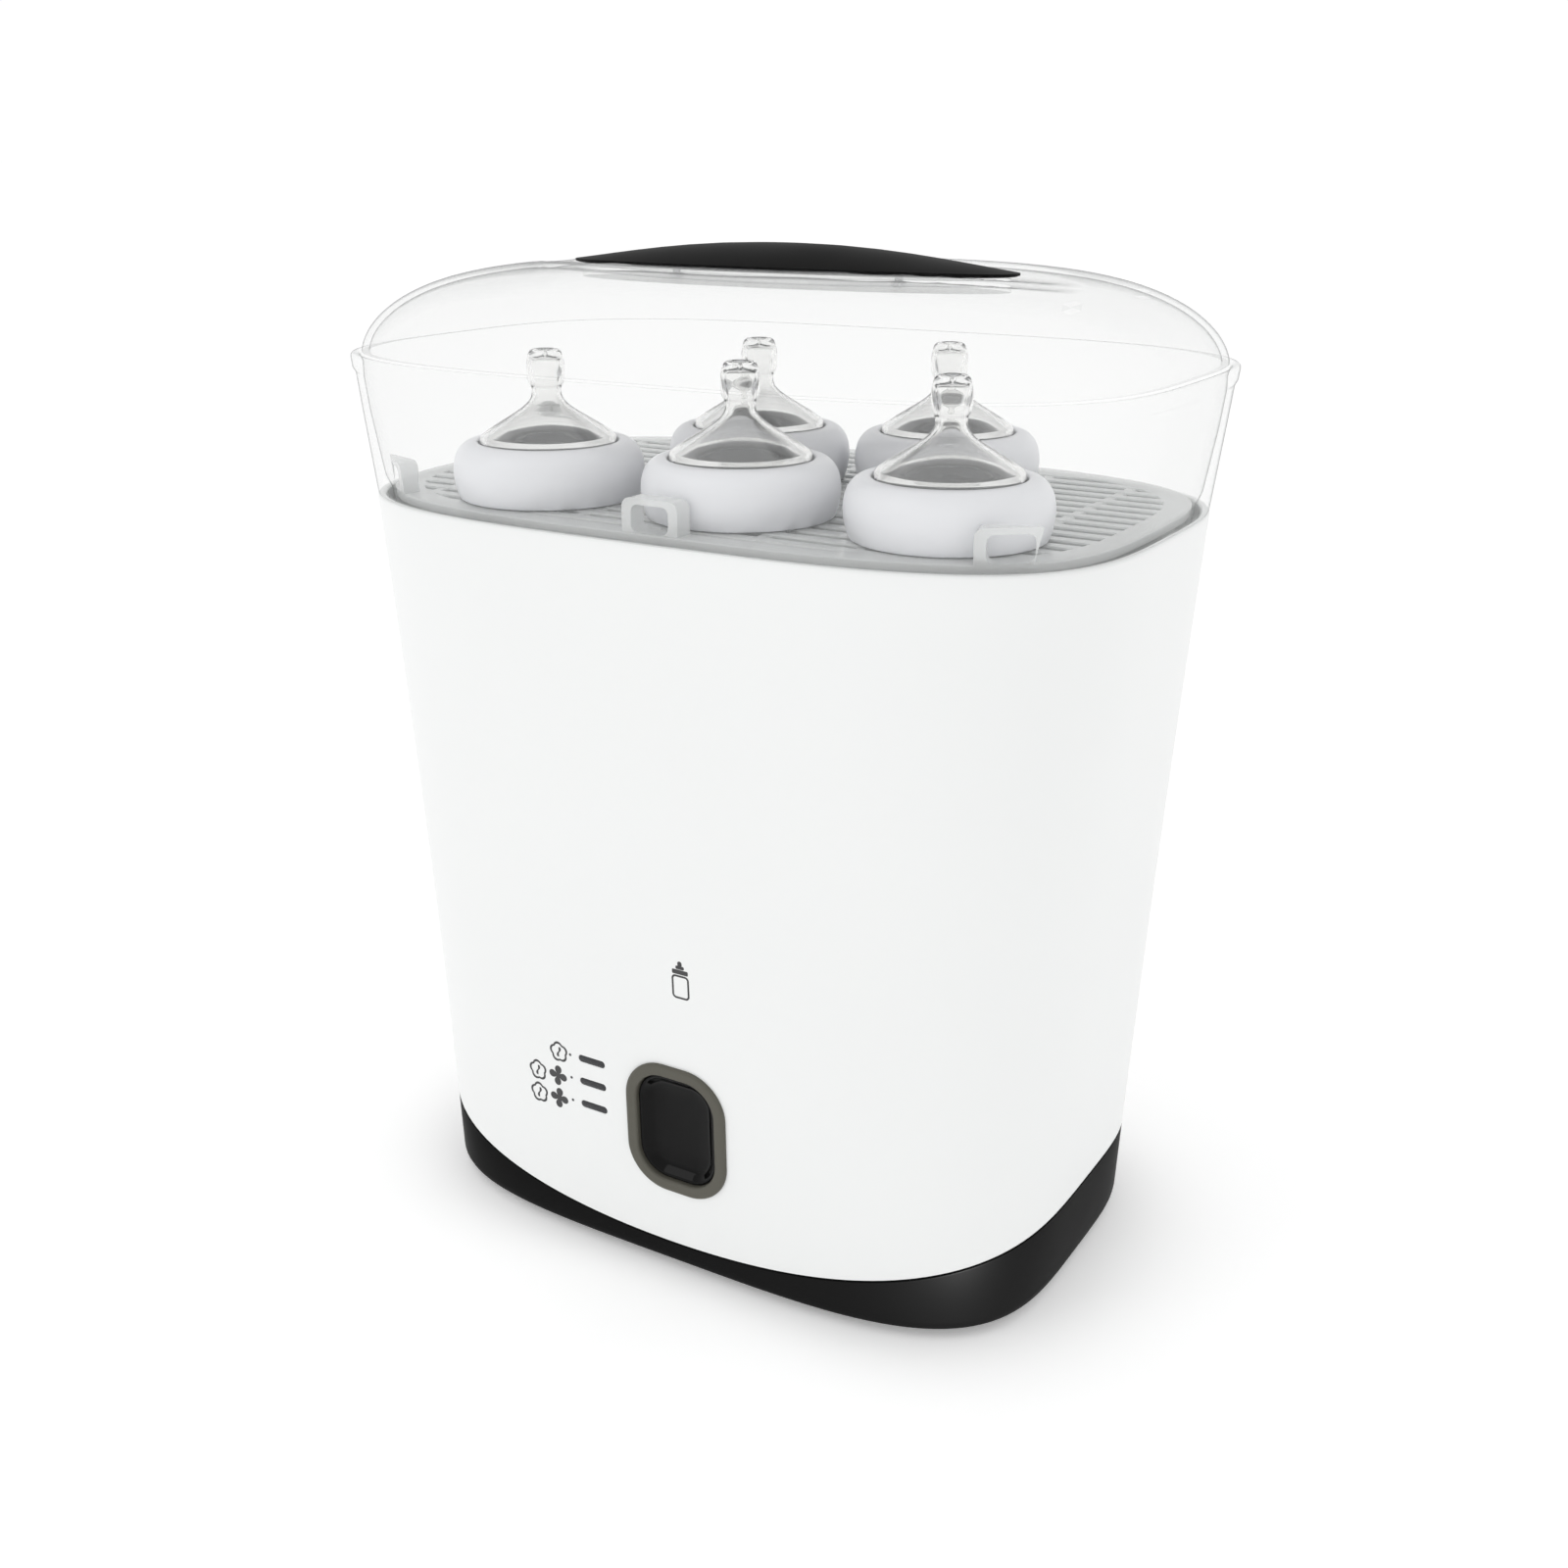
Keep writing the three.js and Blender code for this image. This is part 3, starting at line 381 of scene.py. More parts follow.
def see_through(name, tint, edge, shine, most=0.35, onset=0.75, mottling=0.01):
    """Clear plastic as a film: it passes light, and darkens and shines where it is seen edge on.

    shine and most are the share of its surface shader face on and edge on.
    onset is where the darkening starts.
    """
    material = bpy.data.materials.new(name)
    material.use_nodes = True
    nodes, links = material.node_tree.nodes, material.node_tree.links
    output = nodes["Material Output"]
    gloss = nodes["Principled BSDF"]
    gloss.inputs["Base Color"].default_value = (0.9, 0.91, 0.91, 1)
    gloss.inputs["Roughness"].default_value = 0.04
    gloss.inputs["Specular IOR Level"].default_value = 0.6
    noise = nodes.new("ShaderNodeTexNoise")
    noise.inputs["Scale"].default_value = 30
    place = nodes.new("ShaderNodeTexCoord")
    links.new(place.outputs["Object"], noise.inputs["Vector"])
    facing = nodes.new("ShaderNodeLayerWeight")
    facing.inputs["Blend"].default_value = 0.35
    ramp = nodes.new("ShaderNodeValToRGB")
    ramp.color_ramp.elements[0].position = 0.0
    ramp.color_ramp.elements[0].color = (*tint, 1)
    ramp.color_ramp.elements[1].position = 1.0
    ramp.color_ramp.elements[1].color = (*edge, 1)
    middle = ramp.color_ramp.elements.new(onset)
    middle.color = (*(0.985 * t for t in tint), 1)
    links.new(facing.outputs["Facing"], ramp.inputs["Fac"])
    clear = nodes.new("ShaderNodeBsdfTransparent")
    links.new(ramp.outputs["Color"], clear.inputs["Color"])
    amount = nodes.new("ShaderNodeMapRange")
    amount.inputs["From Min"].default_value = 0.5
    amount.inputs["To Min"].default_value = shine
    amount.inputs["To Max"].default_value = most
    links.new(facing.outputs["Facing"], amount.inputs["Value"])
    mix = nodes.new("ShaderNodeMixShader")
    links.new(amount.outputs["Result"], mix.inputs["Fac"])
    links.new(clear.outputs["BSDF"], mix.inputs[1])
    links.new(gloss.outputs["BSDF"], mix.inputs[2])
    links.new(mix.outputs["Shader"], output.inputs["Surface"])
    bump = nodes.new("ShaderNodeBump")
    bump.inputs["Distance"].default_value = 0.1 * MM
    bump.inputs["Strength"].default_value = mottling * 10
    links.new(noise.outputs["Fac"], bump.inputs["Height"])
    links.new(bump.outputs["Normal"], gloss.inputs["Normal"])
    return material


def refracting(name, color, roughness, ior, clearness=0.96):
    """Solid clear silicone that bends the light."""
    finish = Finish(name, color, roughness)
    finish.shader.inputs["Transmission Weight"].default_value = clearness
    finish.shader.inputs["IOR"].default_value = ior
    finish.vary_roughness(finish.noise(200), 0.3)
    finish.bump(finish.noise(250), 0.02 * MM, 0.3)
    return finish


def circuit_board(name):
    """Green board with paler tracks."""
    finish = Finish(name, (0.03, 0.16, 0.07), 0.35)
    tracks = finish.nodes.new("ShaderNodeTexVoronoi")
    tracks.feature = "DISTANCE_TO_EDGE"
    tracks.inputs["Scale"].default_value = 180
    finish.links.new(finish.place, tracks.inputs["Vector"])
    ramp = finish.nodes.new("ShaderNodeValToRGB")
    ramp.color_ramp.elements[0].color = (0.08, 0.3, 0.14, 1)
    ramp.color_ramp.elements[1].color = (0.03, 0.16, 0.07, 1)
    ramp.color_ramp.elements[1].position = 0.08
    finish.links.new(tracks.outputs["Distance"], ramp.inputs["Fac"])
    finish.links.new(ramp.outputs["Color"], finish.shader.inputs["Base Color"])
    finish.bump(tracks.outputs["Distance"], 0.05 * MM, 0.4)
    return finish


def pleated(name):
    """Filter pad with upright pleats, with painted shade: darker in the folds and lighter on the ridges."""
    finish = Finish(name, (0.78, 0.79, 0.76), 0.95)
    wave = finish.nodes.new("ShaderNodeTexWave")
    wave.inputs["Scale"].default_value = 130
    wave.inputs["Distortion"].default_value = 0.6
    finish.links.new(finish.place, wave.inputs["Vector"])
    # Painted shade: the waves that raise the pleats also darken the colour in their folds and lighten it on
    # their ridges.
    finish.vary_color(wave.outputs["Fac"], 0.12)
    finish.bump(wave.outputs["Fac"], 0.8 * MM, 0.9)
    return finish


WHITE = moulded("white_plastic", (0.88, 0.89, 0.885), 0.3, 1500, 0.002 * MM, 0.1, mottle=0.004).material
LINER_WHITE = moulded("liner_plastic", (0.8, 0.81, 0.805), 0.42, 600, 0.02 * MM).material
DARK = moulded("dark_plastic", (0.0008, 0.0008, 0.0008), 0.46, 1400, 0.03 * MM, shine=0.03).material
GREY = moulded("grey_plastic", (0.1, 0.096, 0.078), 0.42, 1200, 0.02 * MM, shine=0.25).material
GLOSS = moulded("gloss_black", (0.002, 0.002, 0.002), 0.06, 300, 0.002 * MM, 0.2, shine=0.14).material
GRIP = moulded("grip_plastic", (0.006, 0.006, 0.006), 0.55, 1600, 0.03 * MM, 0.5, shine=0.06).material
SMOKED = moulded("smoked_plastic", (0.02, 0.021, 0.024), 0.16, 700, 0.005 * MM).material
COLLAR = moulded("collar_plastic", (0.87, 0.875, 0.9), 0.33, 800, 0.01 * MM).material
HEAT_BLACK = moulded("heat_plastic", (0.02, 0.02, 0.021), 0.55, 900, 0.04 * MM).material
RUBBER = moulded("rubber", (0.012, 0.012, 0.012), 0.8, 1100, 0.06 * MM, 0.7).material
SILICONE = moulded("silicone", (0.42, 0.43, 0.42), 0.55, 500, 0.03 * MM).material
CERAMIC = moulded("ceramic", (0.7, 0.62, 0.5), 0.75, 700, 0.08 * MM, 0.6).material
INK = moulded("printed_ink", (0.045, 0.045, 0.047), 0.5, 1500, 0.005 * MM).material
STEEL = brushed("steel", (0.62, 0.63, 0.64), 0.25, (1, 14, 1)).material
ZINC = brushed("zinc_steel", (0.5, 0.51, 0.52), 0.38, (3, 3, 12)).material
BOARD = circuit_board("board_green").material
FILTER_PAD = pleated("filter_pad").material
CLEAR = see_through("clear_plastic", (0.988, 0.989, 0.988), (0.13, 0.14, 0.14), 0.015)
FROSTED = see_through("frosted_plastic", (0.985, 0.986, 0.985), (0.3, 0.31, 0.31), 0.6, 0.75)
TEAT = refracting("clear_silicone", (0.99, 0.99, 0.985), 0.05, 1.38).material


# ---- Base pan, feet and screws ----

SCREW_NODES = [f"base_screw_{end}_{side}" for end in ("front", "rear") for side in ("left", "right")]


def tube(name, centre, radius, low, high, material=None):
    """Upright solid cylinder, as a post or a cutter."""
    return lathe(name, [(0, low), (radius, low), (radius, high), (0, high)], centre, material, 32)


def below_seam(drop):
    """Line that runs a set distance under the seam."""
    return lambda x: seam_height(x) - drop


def base_pan():
    """Dark pan with a rounded lower edge, the curved seam on top, and a well for each base screw."""
    inner = WALL
    floor = BASE_LOW.z + 3 * MM
    rings = [
        oval_ring(6.0 * MM, BASE_LOW.z), oval_ring(3.6 * MM, BASE_LOW.z),
        oval_ring(1.9 * MM, BASE_LOW.z + 0.35 * MM),
        oval_ring(0.8 * MM, BASE_LOW.z + 1.2 * MM), oval_ring(0.2 * MM, BASE_LOW.z + 2.6 * MM),
        oval_ring(0, BASE_LOW.z + 4.4 * MM),
        oval_ring(0, below_seam(0.9 * MM)), oval_ring(0.12 * MM, below_seam(0.45 * MM)),
        oval_ring(0.5 * MM, below_seam(0.2 * MM)), oval_ring(inner - 0.4 * MM, below_seam(0.2 * MM)),
        oval_ring(inner, below_seam(0.6 * MM)), oval_ring(inner, floor + 1 * MM),
        oval_ring(inner + 2 * MM, floor),
    ]
    pan = loft("base_pan", rings, DARK)
    posts, wells = [], []
    for node in SCREW_NODES:
        low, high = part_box(node)
        centre = ((low.x + high.x) / 2, (low.y + high.y) / 2)
        radius = (high.x - low.x) / 2
        ledge = low.z + 2.4 * MM
        posts.append(tube(f"{node}_post", centre, radius + 2 * MM, floor - 1 * MM, floor + 10 * MM, DARK))
        wells.append(tube(f"{node}_well", centre, radius + 0.6 * MM, BASE_LOW.z - 1 * MM, ledge))
    pan = boolean(pan, "UNION", *posts)
    return boolean(pan, "DIFFERENCE", *wells)


def foot(name):
    """Rubber foot with a soft edge and a shallow cup underneath."""
    low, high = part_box(name)
    centre = ((low.x + high.x) / 2, (low.y + high.y) / 2)
    radius = (high.x - low.x) / 2
    profile = [
        (0, low.z + 0.5 * MM), (radius * 0.45, low.z + 0.5 * MM), (radius * 0.5, low.z),
        (radius - 0.7 * MM, low.z), (radius - 0.2 * MM, low.z + 0.2 * MM), (radius, low.z + 0.7 * MM),
        (radius, high.z), (0, high.z),
    ]
    return lathe(f"{name}_pad", profile, centre, RUBBER, 48)


pan = base_pan()
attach(pan, "root")
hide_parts("base_cover")
for end in ("front", "rear"):
    for side in ("left", "right"):
        node = f"foot_{end}_{side}"
        pad = foot(node)
        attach(pad, "root")
        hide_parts(node)


# ---- Housing ----

def middle_of(low, high):
    """Middle of a box, seen from the front."""
    return ((low.x + high.x) / 2, (low.z + high.z) / 2)


def size_of(low, high):
    """Width and height of a box, seen from the front."""
    return (high.x - low.x, high.z - low.z)


BEZEL_MIDDLE = middle_of(BEZEL_LOW, BEZEL_HIGH)
BEZEL_SIZE = size_of(BEZEL_LOW, BEZEL_HIGH)
FILTER_MIDDLE = middle_of(FILTER_LOW, FILTER_HIGH)
FILTER_SIZE = size_of(FILTER_LOW, FILTER_HIGH)
INLET_MIDDLE = middle_of(INLET_LOW, INLET_HIGH)
INLET_SIZE = size_of(INLET_LOW, INLET_HIGH)
FILTER_CORNER = 4 * MM
CLEARANCE = 0.3 * MM


def housing_shell():
    """White shell on the seam, open at the top, with its well, windows and slots."""
    rows = 60

    def lowest(x):
        return seam_height(x) + 0.25 * MM

    def at(share):
        return lambda x: lowest(x) + (TOP - 1.2 * MM - lowest(x)) * share

    rings = [oval_ring(0.45 * MM, lowest), oval_ring(0.1 * MM, lambda x: lowest(x) + 0.25 * MM)]
    rings += [oval_ring(0, lambda x: lowest(x) + 0.7 * MM)]
    rings += [oval_ring(0, at(row / rows)) for row in range(1, rows + 1)]
    rings += [oval_ring(0.12 * MM, TOP - 0.6 * MM), oval_ring(0.5 * MM, TOP - 0.12 * MM)]
    rings += [oval_ring(1 * MM, TOP)]
    rings += [oval_ring(WALL - 0.4 * MM, TOP), oval_ring(WALL, TOP - 0.5 * MM)]
    rings += [oval_ring(WALL, at(row / 12)) for row in range(11, 0, -1)]
    rings += [oval_ring(WALL, lowest)]
    shell = loft("housing_shell", rings, WHITE, closed=True)
    cutters = [
        face_prism("well", BEZEL_MIDDLE, BEZEL_SIZE, BEZEL_CORNER, grow=-2.4 * MM),
        face_prism("filter_window", FILTER_MIDDLE, FILTER_SIZE, FILTER_CORNER, side=1, grow=CLEARANCE),
        face_prism("inlet_window", INLET_MIDDLE, INLET_SIZE, 0.3 * MM, side=1, grow=CLEARANCE),
    ]
    for bar in BAR_NODES:
        low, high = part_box(bar)
        size = size_of(low, high)
        cutters.append(face_prism(f"{bar}_slot", middle_of(low, high), size, size[1] / 2, grow=0.12 * MM))
    return boolean(shell, "DIFFERENCE", *cutters)


shell = housing_shell()
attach(shell, "root")
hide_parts("housing")


# ---- Front controls ----

def face_piece(name, stations, middle, size, corner, material, side=-1, closed=False):
    """Piece on the front or back face, from (grow, depth) stations of its outline."""
    rings = [face_ring(plate_outline(middle, size, corner, grow), depth, side) for grow, depth in stations]
    return loft(name, rings, material, closed)


def bezel_ring():
    """Warm grey frame round the button, with a soft outer edge."""
    inside = -BEZEL_BAND
    profile = rounded([
        (0, -0.05 * MM, 0), (0, -0.9 * MM, 0.5 * MM), (-0.9 * MM, -1.3 * MM, 0.3 * MM),
        (inside + 0.5 * MM, -1.3 * MM, 0.3 * MM), (inside, -0.7 * MM, 0.4 * MM), (inside, 5 * MM, 0),
        (-3 * MM, 5 * MM, 0), (-3 * MM, -0.05 * MM, 0),
    ])
    return face_piece("bezel_ring", profile, BEZEL_MIDDLE, BEZEL_SIZE, BEZEL_CORNER, GREY, closed=True)


def button_key():
    """Gloss black key: a narrow lip just inside the bezel, then a slope down to a sunken face."""
    inside = -BEZEL_BAND - CLEARANCE
    profile = rounded([
        (inside, 4.6 * MM, 0), (inside, 0.3 * MM, 0.5 * MM), (inside - 1 * MM, 0.3 * MM, 0.6 * MM),
        (inside - 3.6 * MM, 3.3 * MM, 1.4 * MM), (inside - 9 * MM, 3.9 * MM, 0),
    ])
    return face_piece("button_key", profile, BEZEL_MIDDLE, BEZEL_SIZE, BEZEL_CORNER, GLOSS)


ring = bezel_ring()
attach(ring, "root")
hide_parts("button_bezel")

key = button_key()
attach(key, "button")
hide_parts("control_button")

for bar in BAR_NODES:
    low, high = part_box(bar)
    size = size_of(low, high)
    stations = [(0, 2.4 * MM), (0, 0.05 * MM), (-0.15 * MM, -0.1 * MM), (-0.45 * MM, -0.18 * MM)]
    lens = face_piece(f"{bar}_lens", stations, middle_of(low, high), size, size[1] / 2, SMOKED)
    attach(lens, "root")
    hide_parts(bar)


# ---- Printed marks ----

MARK_PROUD = 0.06 * MM
MARK_SUNK = 0.3 * MM


def merge(name, pieces):
    """One object from several, which it replaces."""
    bm = bmesh.new()
    for piece in pieces:
        bm.from_mesh(piece.data)
    material = pieces[0].data.materials[0]
    mesh = bpy.data.meshes.new(name)
    bm.to_mesh(mesh)
    bm.free()
    for piece in pieces:
        bpy.data.objects.remove(piece)
    return finish_mesh(link(name, mesh, material))


def printed_shape(outline):
    """Solid mark: a thin skin on the housing inside an outline that is star-shaped about its middle."""
    middle = [sum(values) / len(outline) for values in zip(*outline)]
    rings = [face_ring(outline, MARK_SUNK), face_ring(outline, -MARK_PROUD), face_ring([middle], -MARK_PROUD)]
    return loft("mark", rings, INK)


def printed_line(outer, inner):
    """Outlined mark: a thin skin between two outlines with the same number of points."""
    rings = [
        face_ring(outline, depth)
        for outline, depth in (
            (outer, MARK_SUNK), (outer, -MARK_PROUD), (inner, -MARK_PROUD), (inner, MARK_SUNK),
        )
    ]
    return loft("mark", rings, INK, closed=True)


def polar_outline(middle, reach, steps=72):
    """Outline from a function that gives its reach at an angle."""
    points = []
    for i in range(steps):
        angle = 2 * math.pi * i / steps
        far = reach(angle)
        points.append((middle[0] + far * math.cos(angle), middle[1] + far * math.sin(angle)))
    return points


def steam_mark(x, z):
    """Puff of steam: a lobed outline with a curl inside."""
    def puff(size):
        return polar_outline((x, z), lambda angle: size * (0.82 + 0.18 * abs(math.sin(2.5 * angle + 0.5))))

    curl = []
    for side in (1, -1):
        for k in range(13):
            t = (k - 6) / 6 * side
            curl.append((x + 0.7 * MM * math.sin(2.6 * t) + side * 0.35 * MM, z + 2 * MM * t))
    return [printed_line(puff(4.2 * MM), puff(3.3 * MM)), printed_shape(curl)]


def fan_mark(x, z):
    """Fan with four blades."""
    def blade(angle):
        return 4.1 * MM * max(0.26, abs(math.cos(2 * angle + 0.2)) ** 0.45)

    return [printed_shape(polar_outline((x, z), blade, 96))]


def bottle_mark(x, z):
    """Plain pictogram of a feeding bottle."""
    def body(grow):
        return plate_outline((x, z - 2 * MM), (7 * MM, 9 * MM), 1.6 * MM, grow, 6)

    return [
        printed_line(body(0), body(-0.7 * MM)),
        printed_shape(plate_outline((x, z + 3.7 * MM), (6.4 * MM, 1.7 * MM), 0.4 * MM, 0, 4)),
        printed_shape(plate_outline((x, z + 5.4 * MM), (3.4 * MM, 1.3 * MM), 0.5 * MM, 0, 4)),
        printed_shape(plate_outline((x, z + 6.7 * MM), (1.7 * MM, 2.2 * MM), 0.8 * MM, 0, 4)),
    ]


def printed_marks():
    """The programme marks beside the light bars, and the bottle above the button."""
    pieces = []
    for row, bar in enumerate(BAR_NODES):
        low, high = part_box(bar)
        z = (low.z + high.z) / 2
        dot = (low.x - 4 * MM, z)
        pieces.append(printed_shape(polar_outline(dot, lambda angle: 0.55 * MM, 16)))
        if bar == "light_pipe_top":
            pieces += steam_mark(low.x - 9.3 * MM, z - 0.4 * MM)
        else:
            pieces += fan_mark(low.x - 10.4 * MM, z - 1.1 * MM)
            pieces += steam_mark(low.x - 20 * MM, z - 1.7 * MM)
    pieces += bottle_mark(10 * MM, 119 * MM)
    return merge("printed_marks", pieces)


marks = printed_marks()
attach(marks, "root")


# ---- Filter cover on the back ----

def filter_panel():
    """Slotted panel flush with the back, and the frame behind it that holds the pad."""
    profile = rounded([
        (0, 2.6 * MM, 0), (0, 0, 0.5 * MM), (-2 * MM, 0, 0), (-19.5 * MM, 0, 0), (-19.5 * MM, 2.6 * MM, 0),
    ])
    panel = face_piece("filter_panel", profile, FILTER_MIDDLE, FILTER_SIZE, FILTER_CORNER, WHITE, side=1)
    slots = []
    for row in range(-2, 3):
        middle = (FILTER_MIDDLE[0], FILTER_MIDDLE[1] + 6 * MM * row)
        slots.append(face_prism(f"slot_{row}", middle, (46 * MM, 2.8 * MM), 1.4 * MM, side=1))
    panel = boolean(panel, "DIFFERENCE", *slots)
    outer = plate_outline(FILTER_MIDDLE, FILTER_SIZE, FILTER_CORNER, -2 * MM)
    inner = plate_outline(FILTER_MIDDLE, FILTER_SIZE, FILTER_CORNER, -4.5 * MM)
    back = [Vector((x, FILTER_LOW.y, z)) for x, z in outer], [Vector((x, FILTER_LOW.y, z)) for x, z in inner]
    rings = [face_ring(outer, 2 * MM, 1), back[0], back[1], face_ring(inner, 2 * MM, 1)]
    frame_ring = loft("filter_frame", rings, WHITE, closed=True)
    return boolean(panel, "UNION", frame_ring)


cover = filter_panel()
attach(cover, "filter")
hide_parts("filter_cover")


# ---- Chamber and water dish ----

def chamber():
    """Open tub that the bottles stand in."""
    wall = WALL + 6.4 * MM
    thick = 2 * MM
    floor = LINER_LOW.z
    top = LINER_HIGH.z
    rings = [
        [Vector((0, 0, floor))], oval_ring(wall + 10 * MM, floor), oval_ring(wall + 4 * MM, floor + 1.4 * MM),
        oval_ring(wall + 1 * MM, floor + 4.5 * MM), oval_ring(wall, floor + 9 * MM),
        *[oval_ring(wall, floor + (top - floor) * k / 8) for k in range(1, 8)],
        oval_ring(wall, top - 3 * MM), oval_ring(wall - 0.6 * MM, top - 2 * MM),
        oval_ring(WALL + CLEARANCE, top - 2 * MM), oval_ring(WALL + CLEARANCE, top),
        oval_ring(wall + thick - 1 * MM, top), oval_ring(wall + thick, top - 1 * MM),
        *[oval_ring(wall + thick, floor + (top - floor) * k / 8) for k in range(7, 0, -1)],
        oval_ring(wall + thick, floor + 10 * MM), oval_ring(wall + thick + 1 * MM, floor + 6 * MM),
        oval_ring(wall + thick + 4 * MM, floor + 3.4 * MM),
        oval_ring(wall + thick + 10 * MM, floor + 2.5 * MM),
        [Vector((0, 0, floor + 2.5 * MM))],
    ]
    tub = loft("chamber_tub", rings, LINER_WHITE)
    plate_low, plate_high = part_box("heating_plate")
    hole = lathe("plate_hole", [
        (0, floor - 5 * MM), (plate_high.x - 5 * MM, floor - 5 * MM), (plate_high.x - 5 * MM, floor + 8 * MM),
        (0, floor + 8 * MM),
    ], (0, 0), None)
    duct_low, duct_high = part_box("air_duct")
    inset = Vector((2 * MM, 2 * MM, 0))
    vent = block("vent", duct_low + inset, duct_high - inset + Vector((0, 0, 12 * MM)))
    return boolean(tub, "DIFFERENCE", hole, vent)


tub = chamber()
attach(tub, "root")
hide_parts("chamber_liner")


def water_dish():
    """Pressed steel dish with a rolled rim."""
    low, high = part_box("heating_plate")
    radius = high.x
    sheet = 1.2 * MM
    profile = rounded([
        (0, low.z, 0), (50 * MM, low.z, 3 * MM), (radius - 7 * MM, high.z - 1.8 * MM, 2 * MM),
        (radius, high.z - sheet, 0.5 * MM), (radius, high.z, 0.5 * MM), (radius - 7.5 * MM, high.z, 2 * MM),
        (49.4 * MM, low.z + sheet, 3 * MM), (0, low.z + sheet, 0),
    ])
    return lathe("water_dish", profile, (0, 0), STEEL, 96)


dish = water_dish()
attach(dish, "root")
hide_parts("heating_plate")


# ---- Tray ----

GRID_TOP = GRID_LOW.z + 3 * MM
SLAT_PITCH = 9.5 * MM
SLAT_HALF = 2.6 * MM
FINGER_ARCHES = ((4, -85.2, 0), (4, 85.2, 0), (118, -70, 0.33), (-118, -70, -0.33))   # x, y in mm, and turn


def tray_ring():
    """Clear flared wall of the tray, with its lip, ledge and skirt."""
    skirt = WALL + 0.6 * MM
    seat = TOP + 0.3 * MM
    ledge = GRID_LOW.z - 0.3 * MM
    thick = 2.4 * MM
    profile = rounded([
        (0.3 * MM, seat, 0.5 * MM), (0.3 * MM, seat + 3 * MM, 0), (0.25 * MM, RIM - 20 * MM, 0),
        (0.3 * MM, RIM - 6 * MM, 0.8 * MM), (-LIP, RIM - 5 * MM, 0.6 * MM), (-LIP, RIM, 1.2 * MM),
        (2.4 * MM, RIM, 1 * MM), (thick + 0.6 * MM, RIM - 3.2 * MM, 0.8 * MM), (thick, RIM - 8 * MM, 0),
        (thick, RIM - 20 * MM, 0), (thick + 1 * MM, seat + 6 * MM, 2 * MM),
        (skirt + 1.6 * MM, seat + 2 * MM, 0.6 * MM), (skirt + 1.6 * MM, ledge, 0.4 * MM),
        (skirt + 8 * MM, ledge, 0.4 * MM), (skirt + 8 * MM, ledge - 1.8 * MM, 0.4 * MM),
        (skirt + 1.8 * MM, ledge - 1.8 * MM, 0.4 * MM), (skirt + 1.8 * MM, TRAY_LOW.z, 0.5 * MM),
        (skirt, TRAY_LOW.z, 0.5 * MM), (skirt, seat, 0.3 * MM),
    ], 3)
    return loft("tray_ring", [oval_ring(inset, z) for inset, z in profile], CLEAR, closed=True)


wall = tray_ring()
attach(wall, "tray")
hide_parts("tray_wall")


def slat(name, low, high, across):
    """Bar of the grid with its top edges taken off, along X or across."""
    bevel = 0.5 * MM
    half = (high.y - low.y) / 2 if not across else (high.x - low.x) / 2
    section = [(-half, low.z), (half, low.z), (half, high.z - bevel), (half - bevel, high.z),
               (bevel - half, high.z), (-half, high.z - bevel)]
    middle = (low + high) / 2
    ends = (low.x, high.x) if not across else (low.y, high.y)
    rings = []
    for end in ends:
        if across:
            rings.append([Vector((middle.x + u, end, z)) for u, z in section])
        else:
            rings.append([Vector((end, middle.y + u, z)) for u, z in section])
    return loft(name, rings, FROSTED)


def upright_slab(name, outline, thickness, place, turn):
    """Upright plate from an (x, z) outline, turned about the vertical at its place."""
    c, s = math.cos(turn), math.sin(turn)
    rings = []
    for v in (-thickness / 2, thickness / 2):
        rings.append([Vector((place[0] + c * u - s * v, place[1] + s * u + c * v, z)) for u, z in outline])
    return loft(name, rings, CLEAR)


def finger_arches():
    """Solid arches and the hollows through them, which come back in two lists."""
    solids, hollows = [], []
    for x, y, turn in FINGER_ARCHES:
        outer = plate_outline((0, GRID_TOP + 3 * MM), (21 * MM, 16 * MM), 3 * MM, 0, 6)
        inner = plate_outline((0, GRID_TOP + 4.6 * MM), (14 * MM, 8.8 * MM), 2.4 * MM, 0, 6)
        place = (x * MM, y * MM)
        solids.append(upright_slab("arch", outer, 7 * MM, place, turn))
        hollows.append(upright_slab("arch_hollow", inner, 12 * MM, place, turn))
    return solids, hollows


def oval_plate(name, inset, low, high):
    """Oval slab between two heights, as a tool for joins and cuts."""
    return loft(name, [oval_ring(inset, low), oval_ring(inset, high)], CLEAR)


